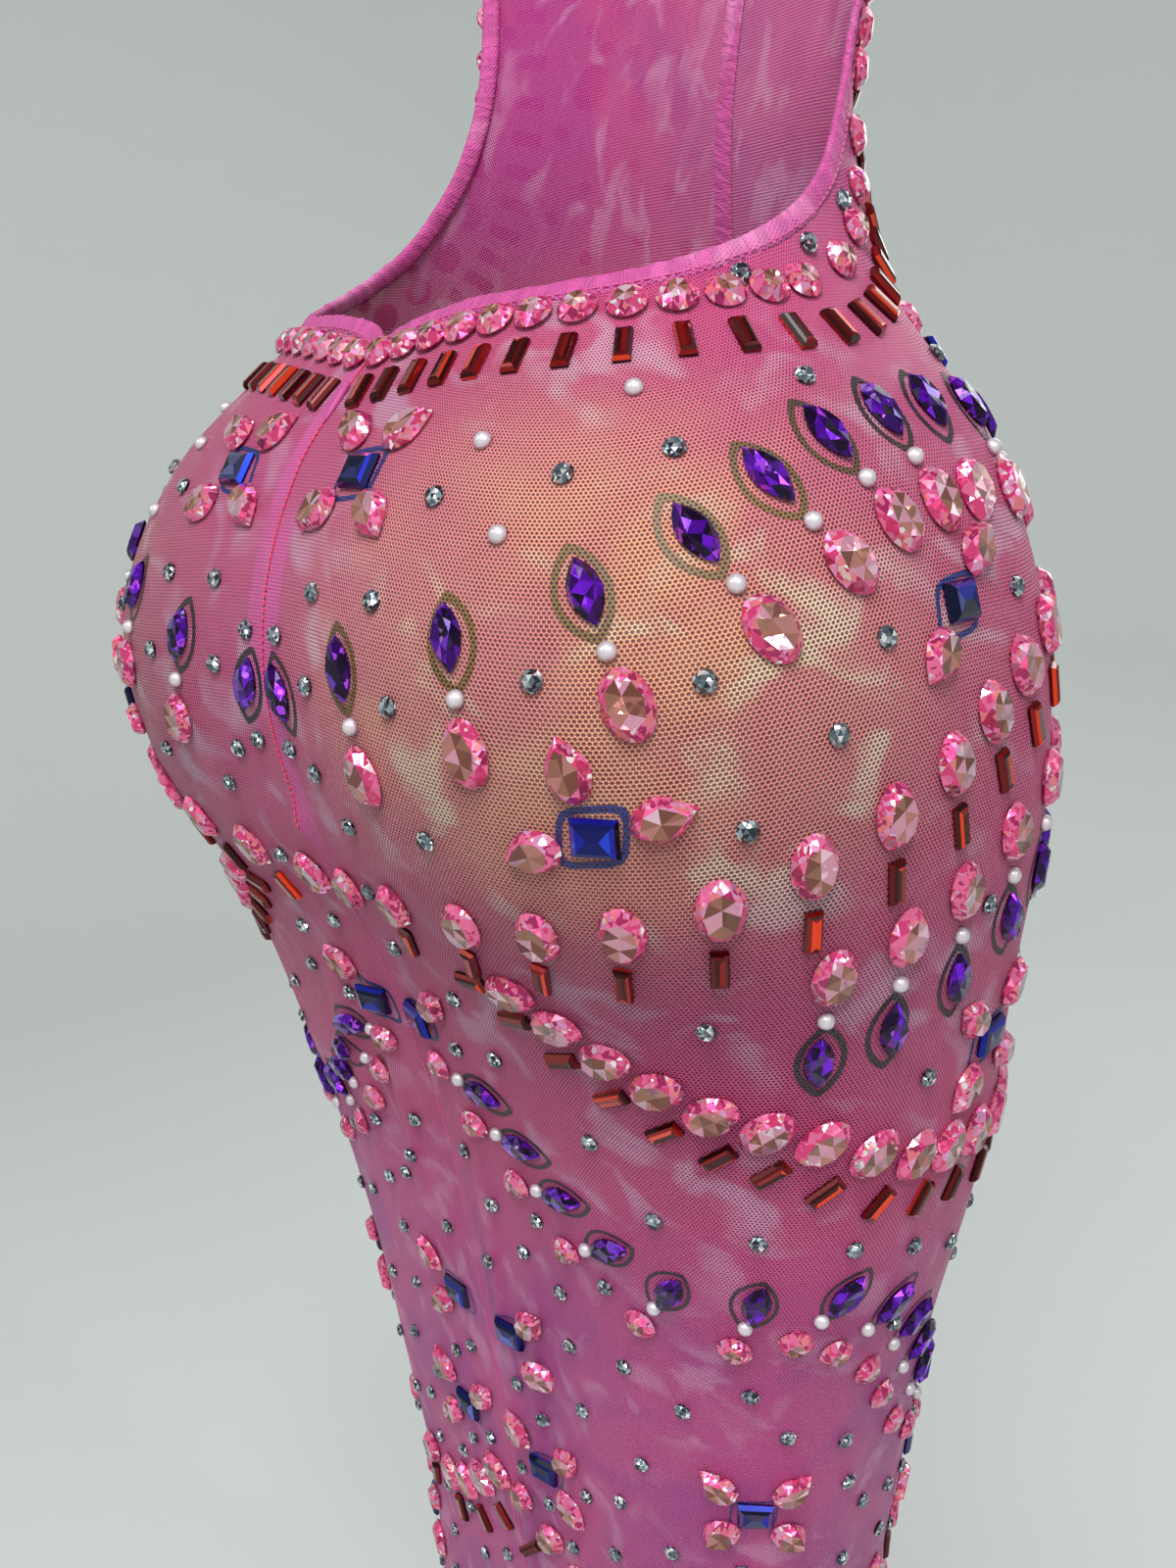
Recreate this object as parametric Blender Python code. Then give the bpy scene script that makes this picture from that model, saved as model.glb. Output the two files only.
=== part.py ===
"""Halter-neck maxi dress of stretch mesh set with large glass stones, in its worn, hollow form.

Metres, +Z up, front towards -Y. The origin is at the neck band, where the wearer's neck holds the dress.
A place on the cloth is an angle and a height: the angle runs in degrees from the centre back (0) round the
wearer's right side (90, towards -X) to the centre front (180), and the height is above the wearer's floor.
"""
import math

import bpy
import bmesh
from mathutils import Vector
from mathutils.geometry import delaunay_2d_cdt

NECK_HEIGHT = 1.446
HEM_HEIGHT = 0.070
WALL = 0.002
SEAM_GAP = 0.0003
BAND_HEIGHT, BAND_THICKNESS = 0.022, 0.003
BAND_FOOT = NECK_HEIGHT - BAND_HEIGHT / 2

# Sections of the body on a general figure: height, half width, depth behind and in front of the
# upright axis, and how square the back half is (2 is an ellipse).
SECTIONS = [
    # height, width, back, front, square
    (1.460, 0.056, 0.056, 0.056, 2.0),
    (1.400, 0.066, 0.058, 0.062, 2.0),
    (1.340, 0.100, 0.064, 0.080, 2.0),
    (1.240, 0.134, 0.070, 0.110, 2.1),
    (1.140, 0.117, 0.053, 0.088, 2.1),
    (1.060, 0.094, 0.042, 0.071, 2.3),
    (1.000, 0.106, 0.069, 0.072, 2.5),
    (0.950, 0.146, 0.116, 0.078, 2.9),
    (0.900, 0.164, 0.137, 0.088, 3.2),
    (0.850, 0.167, 0.132, 0.093, 3.2),
    (0.790, 0.160, 0.104, 0.096, 3.1),
    (0.720, 0.152, 0.084, 0.096, 3.0),
    (0.640, 0.134, 0.071, 0.101, 2.9),
    (0.560, 0.121, 0.064, 0.108, 2.7),
    (0.480, 0.110, 0.060, 0.112, 2.5),
    (0.300, 0.116, 0.068, 0.108, 2.3),
    (0.060, 0.150, 0.100, 0.120, 2.1),
]
FRONT_SQUARE = 2.15

# The centre back seam pulls the cloth in a little over the fullest part of the back.
TROUGH_DEPTH, TROUGH_HEIGHT, TROUGH_REACH, TROUGH_ANGLE = 0.0068, 0.86, 0.085, 20.0

# Soft flutes in the flared skirt, from nothing at FLUTE_TOP to full depth at the hem.
FLUTES, FLUTE_DEPTH, FLUTE_TOP = 8, 0.004, 0.42

# The edge of the open back and armhole, from the centre back up to the neck band: angle, height.
EDGE = [
    (0, 0.986), (8, 0.991), (25, 0.995), (45, 0.997), (62, 1.001), (76, 1.009), (88, 1.021), (97, 1.036),
    (106, 1.058), (113, 1.090), (117, 1.140), (119, 1.200), (121, 1.260), (124, 1.320), (127, 1.370),
    (128, 1.405), (128, BAND_FOOT - SEAM_GAP),
]
HEM_WIDTH, HEM_THICKNESS = 0.006, 0.0028
BOTTOM_HEM_HEIGHT, BOTTOM_HEM_THICKNESS = 0.018, 0.0028

# Stones: length and width of the foot, height, corners of the foot, points of the top (1 is a peak,
# 2 a ridge along the stone, 4 a flat table), and how far the top reaches as a share of the foot.
STONES = {
    # length, width, height, corners, tops, reach
    "round": (0.0115, 0.0115, 0.0035, 6, 1, 0.0),
    "oval": (0.0180, 0.0130, 0.0040, 6, 2, 0.45),
    "drop": (0.0170, 0.0120, 0.0040, 5, 1, 0.0),
    "navette": (0.0180, 0.0090, 0.0035, 6, 2, 0.45),
    "baguette": (0.0120, 0.0050, 0.0025, 4, 2, 0.70),
    "square": (0.0125, 0.0105, 0.0030, 4, 4, 0.70),
}

# Swags: the stones of one ray with how far each lies below the row, the steps between two course
# points, and the row's course as angle and height. The left half is the mirror image of the right.
SWAGS = [
    # rays, steps, course
    ([("round", 0.0), ("baguette", 0.0155)], 4,
     [(4, 0.986), (32, 0.988), (60, 0.990), (84, 0.996), (99, 1.015), (109, 1.045), (115.5, 1.092), (120, 1.165),
      (124, 1.250), (131, 1.345)]),
    ([("navette", 0.0), ("oval", 0.031)], 3,
     [(4, 0.890), (46, 0.924), (70, 0.956), (96, 0.961), (124, 0.944), (150, 0.912), (173, 0.896)]),
    ([("oval", 0.0), ("baguette", 0.0180)], 2,
     [(5, 0.826), (31, 0.833), (48, 0.841), (63, 0.858), (78, 0.875), (90, 0.894), (104, 0.906), (122, 0.902),
      (142, 0.882), (166, 0.864)]),
    ([("oval", 0.0), ("navette", 0.0290)], 2,
     [(66, 0.825), (81, 0.838), (97, 0.858), (114, 0.862), (134, 0.850), (160, 0.826)]),
    ([("oval", 0.0), ("baguette", 0.0175)], 2,
     [(35, 0.810), (46, 0.792), (57, 0.778), (68, 0.768), (80, 0.753), (92, 0.746), (106, 0.742), (124, 0.746),
      (144, 0.758), (168, 0.772)]),
    ([("navette", 0.0), ("round", 0.0240)], 2,
     [(22, 0.754), (37, 0.722), (54, 0.699), (74, 0.705), (90, 0.672), (102, 0.630), (118, 0.604), (140, 0.600),
      (166, 0.612)]),
    ([("oval", 0.0), ("baguette", 0.0175)], 2,
     [(8, 0.548), (30, 0.522), (52, 0.512), (84, 0.526), (124, 0.506), (168, 0.520)]),
    ([("navette", 0.0), ("round", 0.0240)], 2,
     [(9, 0.425), (48, 0.390), (88, 0.410), (128, 0.390), (170, 0.425)]),
    ([("oval", 0.0), ("baguette", 0.0175)], 2,
     [(9, 0.285), (48, 0.250), (88, 0.270), (128, 0.250), (170, 0.285)]),
    ([("round", 0.0)], 2,
     [(6, 0.145), (46, 0.125), (88, 0.138), (130, 0.125), (172, 0.145)]),
    ([("navette", 0.0), ("oval", 0.029)], 2,
     [(128, 1.130), (148, 1.105), (172, 1.096)]),
    ([("oval", 0.0), ("baguette", 0.0175)], 2,
     [(133, 1.290), (152, 1.262), (172, 1.252)]),
]

# Crosses: a square stone with four drops pointing away from it, by the square's angle and height.
CROSSES = [
    (16, 0.950), (46, 0.868), (81, 0.914), (7, 0.774), (92, 0.780), (13, 0.636), (20, 0.573), (68, 0.600),
    (132, 0.805), (122, 0.690), (156, 0.690), (110, 0.975), (152, 0.960), (118, 0.560), (64, 0.460),
    (140, 0.460), (36, 0.335), (108, 0.335), (68, 0.195), (146, 0.195), (150, 1.180), (165, 1.330),
]
CROSS_ARM = 0.0175
CROSS_TURN = 45.0

# How finely the plain cloth is divided: angle step, and height step above and below SKIRT_TOP.
ANGLE_STEP, BODY_STEP, SKIRT_STEP, SKIRT_TOP = 10.0, 0.0215, 0.044, 0.50
CLEARANCE = 0.0008

# Sheet metres: the flat scale in which the cloth is divided into triangles.
FLAT_RADIUS = 0.130

COLOURS = {
    # red, green, blue, roughness
    "panel_right": (0.72, 0.25, 0.46, 0.6),
    "panel_left": (0.72, 0.25, 0.46, 0.6),
    "edge_hem_right": (0.85, 0.35, 0.60, 0.6),
    "edge_hem_left": (0.85, 0.35, 0.60, 0.6),
    "neck_band": (0.80, 0.30, 0.55, 0.6),
    "bottom_hem": (0.66, 0.22, 0.42, 0.6),
}


def hermite(x, table, column):
    """Smooth value of a table's column at x; the first column falls from row to row."""
    rows = table[::-1]
    count = len(rows)
    at = min(max(x, rows[0][0]), rows[-1][0])
    i = max(k for k in range(count - 1) if rows[k][0] <= at)

    def slope(k):
        low, high = max(k - 1, 0), min(k + 1, count - 1)
        return (rows[high][column] - rows[low][column]) / (rows[high][0] - rows[low][0])

    span = rows[i + 1][0] - rows[i][0]
    t = (at - rows[i][0]) / span
    return ((1 + 2 * t) * (1 - t) ** 2 * rows[i][column] + t * (1 - t) ** 2 * span * slope(i)
            + t * t * (3 - 2 * t) * rows[i + 1][column] + t * t * (t - 1) * span * slope(i + 1))


def surface(angle, height):
    """The cloth's outer face."""
    width, back, front, square = (hermite(height, SECTIONS, column) for column in (1, 2, 3, 4))
    turn = math.radians(angle)
    side, along = math.sin(turn), math.cos(turn)
    depth, power = (back, square) if along > 0 else (front, FRONT_SQUARE)
    radius = ((abs(side) / width) ** power + (abs(along) / depth) ** power) ** (-1 / power)
    near_seam = math.exp(-(angle / TROUGH_ANGLE) ** 2)
    radius -= TROUGH_DEPTH * near_seam * math.exp(-((height - TROUGH_HEIGHT) / TROUGH_REACH) ** 2)
    fall = min(max((FLUTE_TOP - height) / (FLUTE_TOP - HEM_HEIGHT), 0.0), 1.0)
    radius += FLUTE_DEPTH * fall * fall * (3 - 2 * fall) * math.cos(FLUTES * turn)
    return Vector((-radius * side, radius * along, height - NECK_HEIGHT))


def tangents(angle, height):
    """Change of place per degree and per metre of height."""
    step_angle, step_height = 0.05, 0.0005
    across = (surface(angle + step_angle, height) - surface(angle - step_angle, height)) / (2 * step_angle)
    up = (surface(angle, height + step_height) - surface(angle, height - step_height)) / (2 * step_height)
    return across, up


def outward(angle, height):
    """Unit normal, away from the wearer."""
    across, up = tangents(angle, height)
    return across.cross(up).normalized()


def lifted(angle, height, by):
    """A point that stands out from the cloth's outer face by a distance."""
    return surface(angle, height) + outward(angle, height) * by


def slide(angle, height, forward, upward):
    """Angle and height after moving over the cloth, in metres, towards the front and up."""
    across, up = tangents(angle, height)
    level = across.normalized()
    slope = (up - level * up.dot(level))
    rise = upward / slope.length
    return angle + (forward - rise * up.dot(level)) / across.length, height + rise


def smooth_course(points, steps):
    """Catmull-Rom course through points, with the same number of steps between each two."""
    first = tuple(2 * a - b for a, b in zip(points[0], points[1]))
    last = tuple(2 * a - b for a, b in zip(points[-1], points[-2]))
    run = [first] + list(points) + [last]
    course = []
    for i in range(1, len(run) - 2):
        a, b, c, d = run[i - 1:i + 3]
        for step in range(steps):
            t = step / steps
            course.append(tuple(
                0.5 * (2 * q + (r - p) * t + (2 * p - 5 * q + 4 * r - s) * t * t + (3 * q - p - 3 * r + s) * t ** 3)
                for p, q, r, s in zip(a, b, c, d)))
    course.append(tuple(points[-1]))
    return course


def ray_direction(course, i, side=-1):
    """Unit step (forward, upward) across a course at its point i, downwards or, for side 1, upwards."""
    before, after = course[max(i - 1, 0)], course[min(i + 1, len(course) - 1)]
    across, up = tangents(*course[i])
    run = across * (after[0] - before[0]) + up * (after[1] - before[1])
    level = across.normalized()
    slope = (up - level * up.dot(level)).normalized()
    run.normalize()
    return -side * run.dot(slope), side * run.dot(level)


def laid_stones():
    """Every raised stone of the right half: kind, angle, height, and the direction of its long way."""
    for rays, steps, points in SWAGS:
        course = smooth_course(points, steps)
        for i, (angle, height) in enumerate(course):
            forward, upward = ray_direction(course, i)
            for kind, drop in rays:
                at = slide(angle, height, forward * drop, upward * drop)
                yield kind, at[0], at[1], math.atan2(upward, forward)
    for angle, height in CROSSES:
        yield "square", angle, height, 0.0
        for quarter in range(4):
            turn = math.radians(CROSS_TURN + 90 * quarter)
            at = slide(angle, height, CROSS_ARM * math.cos(turn), CROSS_ARM * math.sin(turn))
            yield "drop", at[0], at[1], turn


def stone_points(kind, angle, height, turn):
    """A stone's foot, counter-clockwise, and its top's points, all as angle and height on the cloth."""
    length, width, _, corners, tops, reach = STONES[kind]

    def at(along, beside):
        forward = 0.5 * (along * length * math.cos(turn) - beside * width * math.sin(turn))
        upward = 0.5 * (along * length * math.sin(turn) + beside * width * math.cos(turn))
        return slide(angle, height, forward, upward)

    square = [(1, 1), (-1, 1), (-1, -1), (1, -1)]
    around = [2 * math.pi * k / corners for k in range(corners)]
    foot = square if corners == 4 else [(math.cos(a), math.sin(a)) for a in around]
    top = {1: [(0, 0)], 2: [(reach, 0), (-reach, 0)], 4: [(reach * x, reach * y) for x, y in square]}[tops]
    return [at(*p) for p in foot], [at(*p) for p in top]


def edge_course():
    """The open back's edge, finely divided from the centre back to the neck."""
    return smooth_course(EDGE, 3)


def inside_edge(by):
    """The course that runs inside the edge at a distance, with its ends kept level and upright."""
    course = edge_course()
    inner = []
    for i, (angle, height) in enumerate(course):
        forward, upward = ray_direction(course, i)
        if i == 0:
            forward, upward = 0.0, -1.0
        if i == len(course) - 1:
            forward, upward = 1.0, 0.0
        inner.append(slide(angle, height, forward * by, upward * by))
    return inner


def heights_between(low, high):
    """Heights of the plain divisions, closer over the body than in the skirt."""
    heights = [low]
    while heights[-1] < high - BODY_STEP * 0.6:
        step = SKIRT_STEP if heights[-1] < SKIRT_TOP else BODY_STEP
        heights.append(heights[-1] + step)
    if high - heights[-1] < BODY_STEP * 0.5:
        heights.pop()
    return heights[1:]


def beside_seam(height, front):
    """Angle at which a half's border runs, half the seam gap from the centre plane."""
    across = tangents(180.0 if front else 0.0, height)[0].length
    step = 0.5 * SEAM_GAP / across
    return 180.0 - step if front else step


def panel_border():
    """Border of a half as angle and height: up the back seam, along the edge, the neck and down the front."""
    low = HEM_HEIGHT + BOTTOM_HEM_HEIGHT + SEAM_GAP
    edge = inside_edge(HEM_WIDTH + SEAM_GAP)
    top = edge[-1][1]
    back = [(beside_seam(h, False), h) for h in [low] + heights_between(low, edge[0][1])]
    edge[0] = (beside_seam(edge[0][1], False), edge[0][1])
    neck_steps = 6
    neck = [(edge[-1][0] + (180.0 - edge[-1][0]) * k / neck_steps, top) for k in range(1, neck_steps)]
    front = [(beside_seam(h, True), h) for h in [low] + heights_between(low, top) + [top]][::-1]
    steps = round(180 / ANGLE_STEP)
    hem = [(180 - ANGLE_STEP * k, low) for k in range(1, steps)]
    return back + edge + neck + front + hem


def flat(angle, height):
    """A place on the cloth in the flat scale."""
    return Vector((math.radians(angle) * FLAT_RADIUS, height))


def unflat(point):
    """Angle and height of a point in the flat scale."""
    return math.degrees(point.x / FLAT_RADIUS), point.y


def in_polygon(point, polygon):
    """Whether a flat point is inside a flat polygon."""
    inside = False
    for a, b in zip(polygon, polygon[1:] + polygon[:1]):
        if (a.y > point.y) != (b.y > point.y):
            if point.x < a.x + (point.y - a.y) / (b.y - a.y) * (b.x - a.x):
                inside = not inside
    return inside


def distance_to(point, polygon):
    """Distance from a flat point to a flat polygon's sides."""
    best = 1.0
    for a, b in zip(polygon, polygon[1:] + polygon[:1]):
        run = b - a
        t = min(max((point - a).dot(run) / max(run.length_squared, 1e-12), 0.0), 1.0)
        best = min(best, (point - a - run * t).length)
    return best


def plain_points(border):
    """Plain divisions of a half inside its border, in the flat scale."""
    low, high = HEM_HEIGHT, max(p.y for p in border)
    points = []
    for height in heights_between(low + BOTTOM_HEM_HEIGHT, high):
        for k in range(1, round(180 / ANGLE_STEP)):
            point = flat(ANGLE_STEP * k, height)
            if in_polygon(point, border) and distance_to(point, border) > 0.006:
                points.append(point)
    return points


def placed_stones(border):
    """The stones that lie clear of the border and of each other, as feet and tops in the flat scale."""
    placed = []
    for kind, angle, height, turn in laid_stones():
        foot, top = ([flat(*p) for p in points] for points in stone_points(kind, angle, height, turn))
        if not all(in_polygon(p, border) and distance_to(p, border) > CLEARANCE for p in foot):
            continue
        middle = flat(angle, height)
        close = [s for s in placed if (s[3] - middle).length < 0.028]
        if any(in_polygon(p, s[1]) or distance_to(p, s[1]) < CLEARANCE for s in close for p in foot):
            continue
        if any(in_polygon(p, foot) or distance_to(p, foot) < CLEARANCE for s in close for p in s[1]):
            continue
        placed.append((kind, foot, top, middle))
    return placed


def triangulate(border, loops, points):
    """Triangles over a border with loops kept as edges."""
    vertices = list(border)
    edges = [(i, (i + 1) % len(border)) for i in range(len(border))]
    for loop in loops:
        start = len(vertices)
        vertices += loop
        if len(loop) > 1:
            sides = len(loop) if len(loop) > 2 else 1
            edges += [(start + i, start + (i + 1) % len(loop)) for i in range(sides)]
    vertices += points
    out = delaunay_2d_cdt(vertices, edges, [], 0, 1e-7)
    kept = [list(face) for face in out[2]
            if in_polygon(sum((out[0][i] for i in face), Vector((0, 0))) / len(face), border)]
    origin = [ids[0] if ids else -1 for ids in out[3]]
    return out[0], kept, origin


def build_panel(name, mirrored):
    """One half of the body: a wall with the stones raised in its outer points over a plain inside."""
    border = [flat(*p) for p in panel_border()]
    stones = placed_stones(border)
    loops, raised = [], {}
    index = len(border)
    for kind, foot, top, _ in stones:
        loops += [foot, top]
        index += len(foot)
        for k in range(len(top)):
            raised[index + k] = STONES[kind][2]
        index += len(top)
    feet = [(s[1], s[3]) for s in stones]
    grid = plain_points(border)
    free = [p for p in grid if not any((p - middle).length < 0.020
            and (in_polygon(p, foot) or distance_to(p, foot) < 0.004) for foot, middle in feet)]
    outer_points, outer_faces, outer_origin = triangulate(border, loops, free)
    inner_points, inner_faces, inner_origin = triangulate(border, [], grid)

    bm = bmesh.new()
    outer = [bm.verts.new(lifted(*unflat(p), raised.get(o, 0.0))) for p, o in zip(outer_points, outer_origin)]
    inner = [bm.verts.new(lifted(*unflat(p), -WALL)) for p in inner_points]
    for face in outer_faces:
        bm.faces.new([outer[i] for i in face])
    for face in inner_faces:
        bm.faces.new([inner[i] for i in reversed(face)])
    outer_rim = {o: outer[i] for i, o in enumerate(outer_origin) if 0 <= o < len(border)}
    inner_rim = {o: inner[i] for i, o in enumerate(inner_origin) if 0 <= o < len(border)}
    for i in range(len(border)):
        j = (i + 1) % len(border)
        bm.faces.new([outer_rim[i], outer_rim[j], inner_rim[j], inner_rim[i]])
    finish_node(name, bm, mirrored)
    return len(stones)


def finish_node(name, bm, mirrored=False):
    """Turns a bmesh into a named node with its material, on the wearer's left if mirrored."""
    if mirrored:
        for vertex in bm.verts:
            vertex.co.x = -vertex.co.x
    bmesh.ops.recalc_face_normals(bm, faces=bm.faces)
    bmesh.ops.triangulate(bm, faces=[f for f in bm.faces if len(f.verts) > 3])
    mesh = bpy.data.meshes.new(name)
    bm.to_mesh(mesh)
    bm.free()
    node = bpy.data.objects.new(name, mesh)
    model.objects.link(node)
    red, green, blue, roughness = COLOURS[name]
    material = bpy.data.materials.new(name)
    material.use_nodes = True
    shader = material.node_tree.nodes["Principled BSDF"]
    shader.inputs["Base Color"].default_value = (red, green, blue, 1.0)
    shader.inputs["Roughness"].default_value = roughness
    mesh.materials.append(material)


def sweep(bm, sections, closed):
    """A solid through sections of matching points, joined end to end or capped."""
    rings = [[bm.verts.new(p) for p in section] for section in sections]
    count = len(rings[0])
    pairs = list(zip(rings, rings[1:] + rings[:1])) if closed else list(zip(rings, rings[1:]))
    for ring, following in pairs:
        for k in range(count):
            bm.faces.new([ring[k], ring[(k + 1) % count], following[(k + 1) % count], following[k]])
    if not closed:
        bm.faces.new(rings[0][::-1])
        bm.faces.new(rings[-1])


def build_edge_hem(name, mirrored):
    """The turned hem of the open back, doubled cloth that follows the edge."""
    rise = (HEM_THICKNESS - WALL) / 2
    sections = []
    courses = list(zip(edge_course(), inside_edge(HEM_WIDTH)))
    for i, (edge, inner) in enumerate(courses):
        if i == 0:
            edge, inner = (beside_seam(edge[1], False), edge[1]), (beside_seam(inner[1], False), inner[1])
        sections.append([lifted(*edge, rise), lifted(*edge, -WALL - rise),
                         lifted(*inner, -WALL - rise), lifted(*inner, rise)])
    bm = bmesh.new()
    sweep(bm, sections, False)
    finish_node(name, bm, mirrored)


def build_ring(name, low, high, thickness, steps):
    """A band all the way round, level top and bottom, on the cloth's form."""
    rise = (thickness - WALL) / 2
    sections = []
    for k in range(steps):
        angle = 360.0 * k / steps
        turn = angle if angle <= 180 else angle - 360
        flip = Vector((-1 if turn < 0 else 1, 1, 1))
        sections.append([lifted(abs(turn), height, out) * flip
                         for height, out in ((low, rise), (high, rise), (high, -WALL - rise), (low, -WALL - rise))])
    bm = bmesh.new()
    sweep(bm, sections, True)
    finish_node(name, bm)


for old in list(bpy.data.objects):
    bpy.data.objects.remove(old, do_unlink=True)
model = bpy.data.collections.new("maxi_dress")
bpy.context.scene.collection.children.link(model)

stone_count = build_panel("panel_right", False)
build_panel("panel_left", True)
build_edge_hem("edge_hem_right", False)
build_edge_hem("edge_hem_left", True)
build_ring("neck_band", BAND_FOOT, BAND_FOOT + BAND_HEIGHT, BAND_THICKNESS, 36)
build_ring("bottom_hem", HEM_HEIGHT, HEM_HEIGHT + BOTTOM_HEM_HEIGHT, BOTTOM_HEM_THICKNESS, 48)

for node in model.objects:
    print(node.name, len(node.data.polygons), "triangles")
print(stone_count, "raised stones on each half")
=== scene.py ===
"""Looks of a halter-neck maxi dress: stretch mesh, turned hems, foil-backed glass stones and half pearls.

The row frame is in metres, +Z up, front towards -Y, with the origin at the neck band. A place on the cloth
is an angle in degrees from the centre back (0) round to the centre front (180), and a height above the floor.
"""
import math

import bmesh
import bpy
import numpy as np
from mathutils import Matrix, Vector


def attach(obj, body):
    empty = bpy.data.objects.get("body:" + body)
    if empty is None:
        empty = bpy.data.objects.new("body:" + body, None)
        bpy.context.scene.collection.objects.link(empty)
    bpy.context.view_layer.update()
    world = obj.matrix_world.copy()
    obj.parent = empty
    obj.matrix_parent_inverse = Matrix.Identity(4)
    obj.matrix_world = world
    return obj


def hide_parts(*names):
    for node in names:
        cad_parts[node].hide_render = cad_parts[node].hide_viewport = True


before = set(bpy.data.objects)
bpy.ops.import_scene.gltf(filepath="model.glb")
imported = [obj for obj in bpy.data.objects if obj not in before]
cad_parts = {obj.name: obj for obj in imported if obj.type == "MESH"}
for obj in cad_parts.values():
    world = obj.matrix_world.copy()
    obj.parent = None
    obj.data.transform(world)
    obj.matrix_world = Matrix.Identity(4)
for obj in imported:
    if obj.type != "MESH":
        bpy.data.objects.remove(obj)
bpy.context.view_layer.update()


# Camera: held close behind the dress's right hip, a little above it, looking down and slightly tilted.
NECK_HEIGHT = 1.446
CAMERA_TURN, CAMERA_REACH, CAMERA_HEIGHT = 43.6, 0.448, 0.966
AIM_TURN, AIM_DOWN, CAMERA_ROLL = -0.5, 17.0, -2.4
LENS = 28.8



def shown(name, data):
    """A new object in the scene, at the origin."""
    new = bpy.data.objects.new(name, data)
    bpy.context.scene.collection.objects.link(new)
    return new


turn, aim, down = (math.radians(a) for a in (CAMERA_TURN, CAMERA_TURN + AIM_TURN, AIM_DOWN))
forward = Vector((math.cos(aim) * math.cos(down), -math.sin(aim) * math.cos(down), -math.sin(down)))
level = Vector((-math.sin(aim), -math.cos(aim), 0))
upright = level.cross(forward)
roll = math.radians(CAMERA_ROLL)
across = level * math.cos(roll) + upright * math.sin(roll)
upright = upright * math.cos(roll) - level * math.sin(roll)
camera = shown("camera", bpy.data.cameras.new("camera"))
camera.data.lens = LENS
camera.data.clip_start = 0.01
camera.matrix_world = Matrix.Translation(
    (-CAMERA_REACH * math.cos(turn), CAMERA_REACH * math.sin(turn), CAMERA_HEIGHT - NECK_HEIGHT)
) @ Matrix((across, upright, -forward)).transposed().to_4x4()
bpy.context.scene.camera = camera


# Studio: a pale painted floor that curves up into the wall, and soft lights. Colours are sRGB hex values.
def linear(hex_colour, alpha=1.0):
    """An sRGB hex colour as linear red, green, blue and alpha."""
    values = [int(hex_colour[i:i + 2], 16) / 255 for i in (1, 3, 5)]
    return tuple(v / 12.92 if v <= 0.04045 else ((v + 0.055) / 1.055) ** 2.4 for v in values) + (alpha,)


def add(tree, kind, links=None, **settings):
    """Adds a node with its settings; links give a value or another node's output for each input."""
    new = tree.nodes.new(kind if "Node" in kind else "ShaderNode" + kind)
    for key, value in settings.items():
        setattr(new, key, value)
    for socket, source in (links or {}).items():
        if isinstance(source, bpy.types.NodeSocket):
            tree.links.new(source, new.inputs[socket])
        else:
            new.inputs[socket].default_value = source
    return new


def new_material(name):
    """An empty node material and its output node."""
    material = bpy.data.materials.new(name)
    material.use_nodes = True
    material.node_tree.nodes.clear()
    return material, add(material.node_tree, "OutputMaterial")


FLOOR = -NECK_HEIGHT
COVE_RADIUS, COVE_REACH, COVE_HEIGHT = 0.8, 2.6, 3.2

profile = [(0.0, 0.0)] + [
    (COVE_REACH - COVE_RADIUS + COVE_RADIUS * math.sin(a), COVE_RADIUS * (1 - math.cos(a)))
    for a in (math.radians(d) for d in range(0, 91, 10))] + [(COVE_REACH, COVE_HEIGHT)]
ROUND = 96
cove_points = [(r * math.cos(2 * math.pi * k / ROUND), r * math.sin(2 * math.pi * k / ROUND), FLOOR + z)
               for r, z in profile[1:] for k in range(ROUND)] + [(0, 0, FLOOR)]
cove_faces = [(i * ROUND + k, i * ROUND + (k + 1) % ROUND, (i + 1) * ROUND + (k + 1) % ROUND, (i + 1) * ROUND + k)
              for i in range(len(profile) - 2) for k in range(ROUND)]
cove_faces += [(len(cove_points) - 1, (k + 1) % ROUND, k) for k in range(ROUND)]
cove_mesh = bpy.data.meshes.new("studio_cove")
cove_mesh.from_pydata(cove_points, [], cove_faces)
cove_mesh.polygons.foreach_set("use_smooth", [True] * len(cove_faces))
cove = shown("studio_cove", cove_mesh)
paint, paint_out = new_material("matt_wall_paint")
mottle = add(paint.node_tree, "TexNoise", {"Scale": 1.6, "Detail": 2.0})
tone = add(paint.node_tree, "Mix", {0: mottle.outputs[0], 6: linear("#DDE2E0"), 7: linear("#E6E9E6")},
           data_type="RGBA")
shader = add(paint.node_tree, "BsdfPrincipled", {"Base Color": tone.outputs[2], "Roughness": 0.9})
paint.node_tree.links.new(shader.outputs[0], paint_out.inputs[0])
cove_mesh.materials.append(paint)

world = bpy.data.worlds.new("studio_air")
world.use_nodes = True
world.node_tree.nodes["Background"].inputs[0].default_value = linear("#DDE3E6")
world.node_tree.nodes["Background"].inputs[1].default_value = 0.24
bpy.context.scene.world = world
bpy.context.scene.view_settings.view_transform = "Standard"

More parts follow.
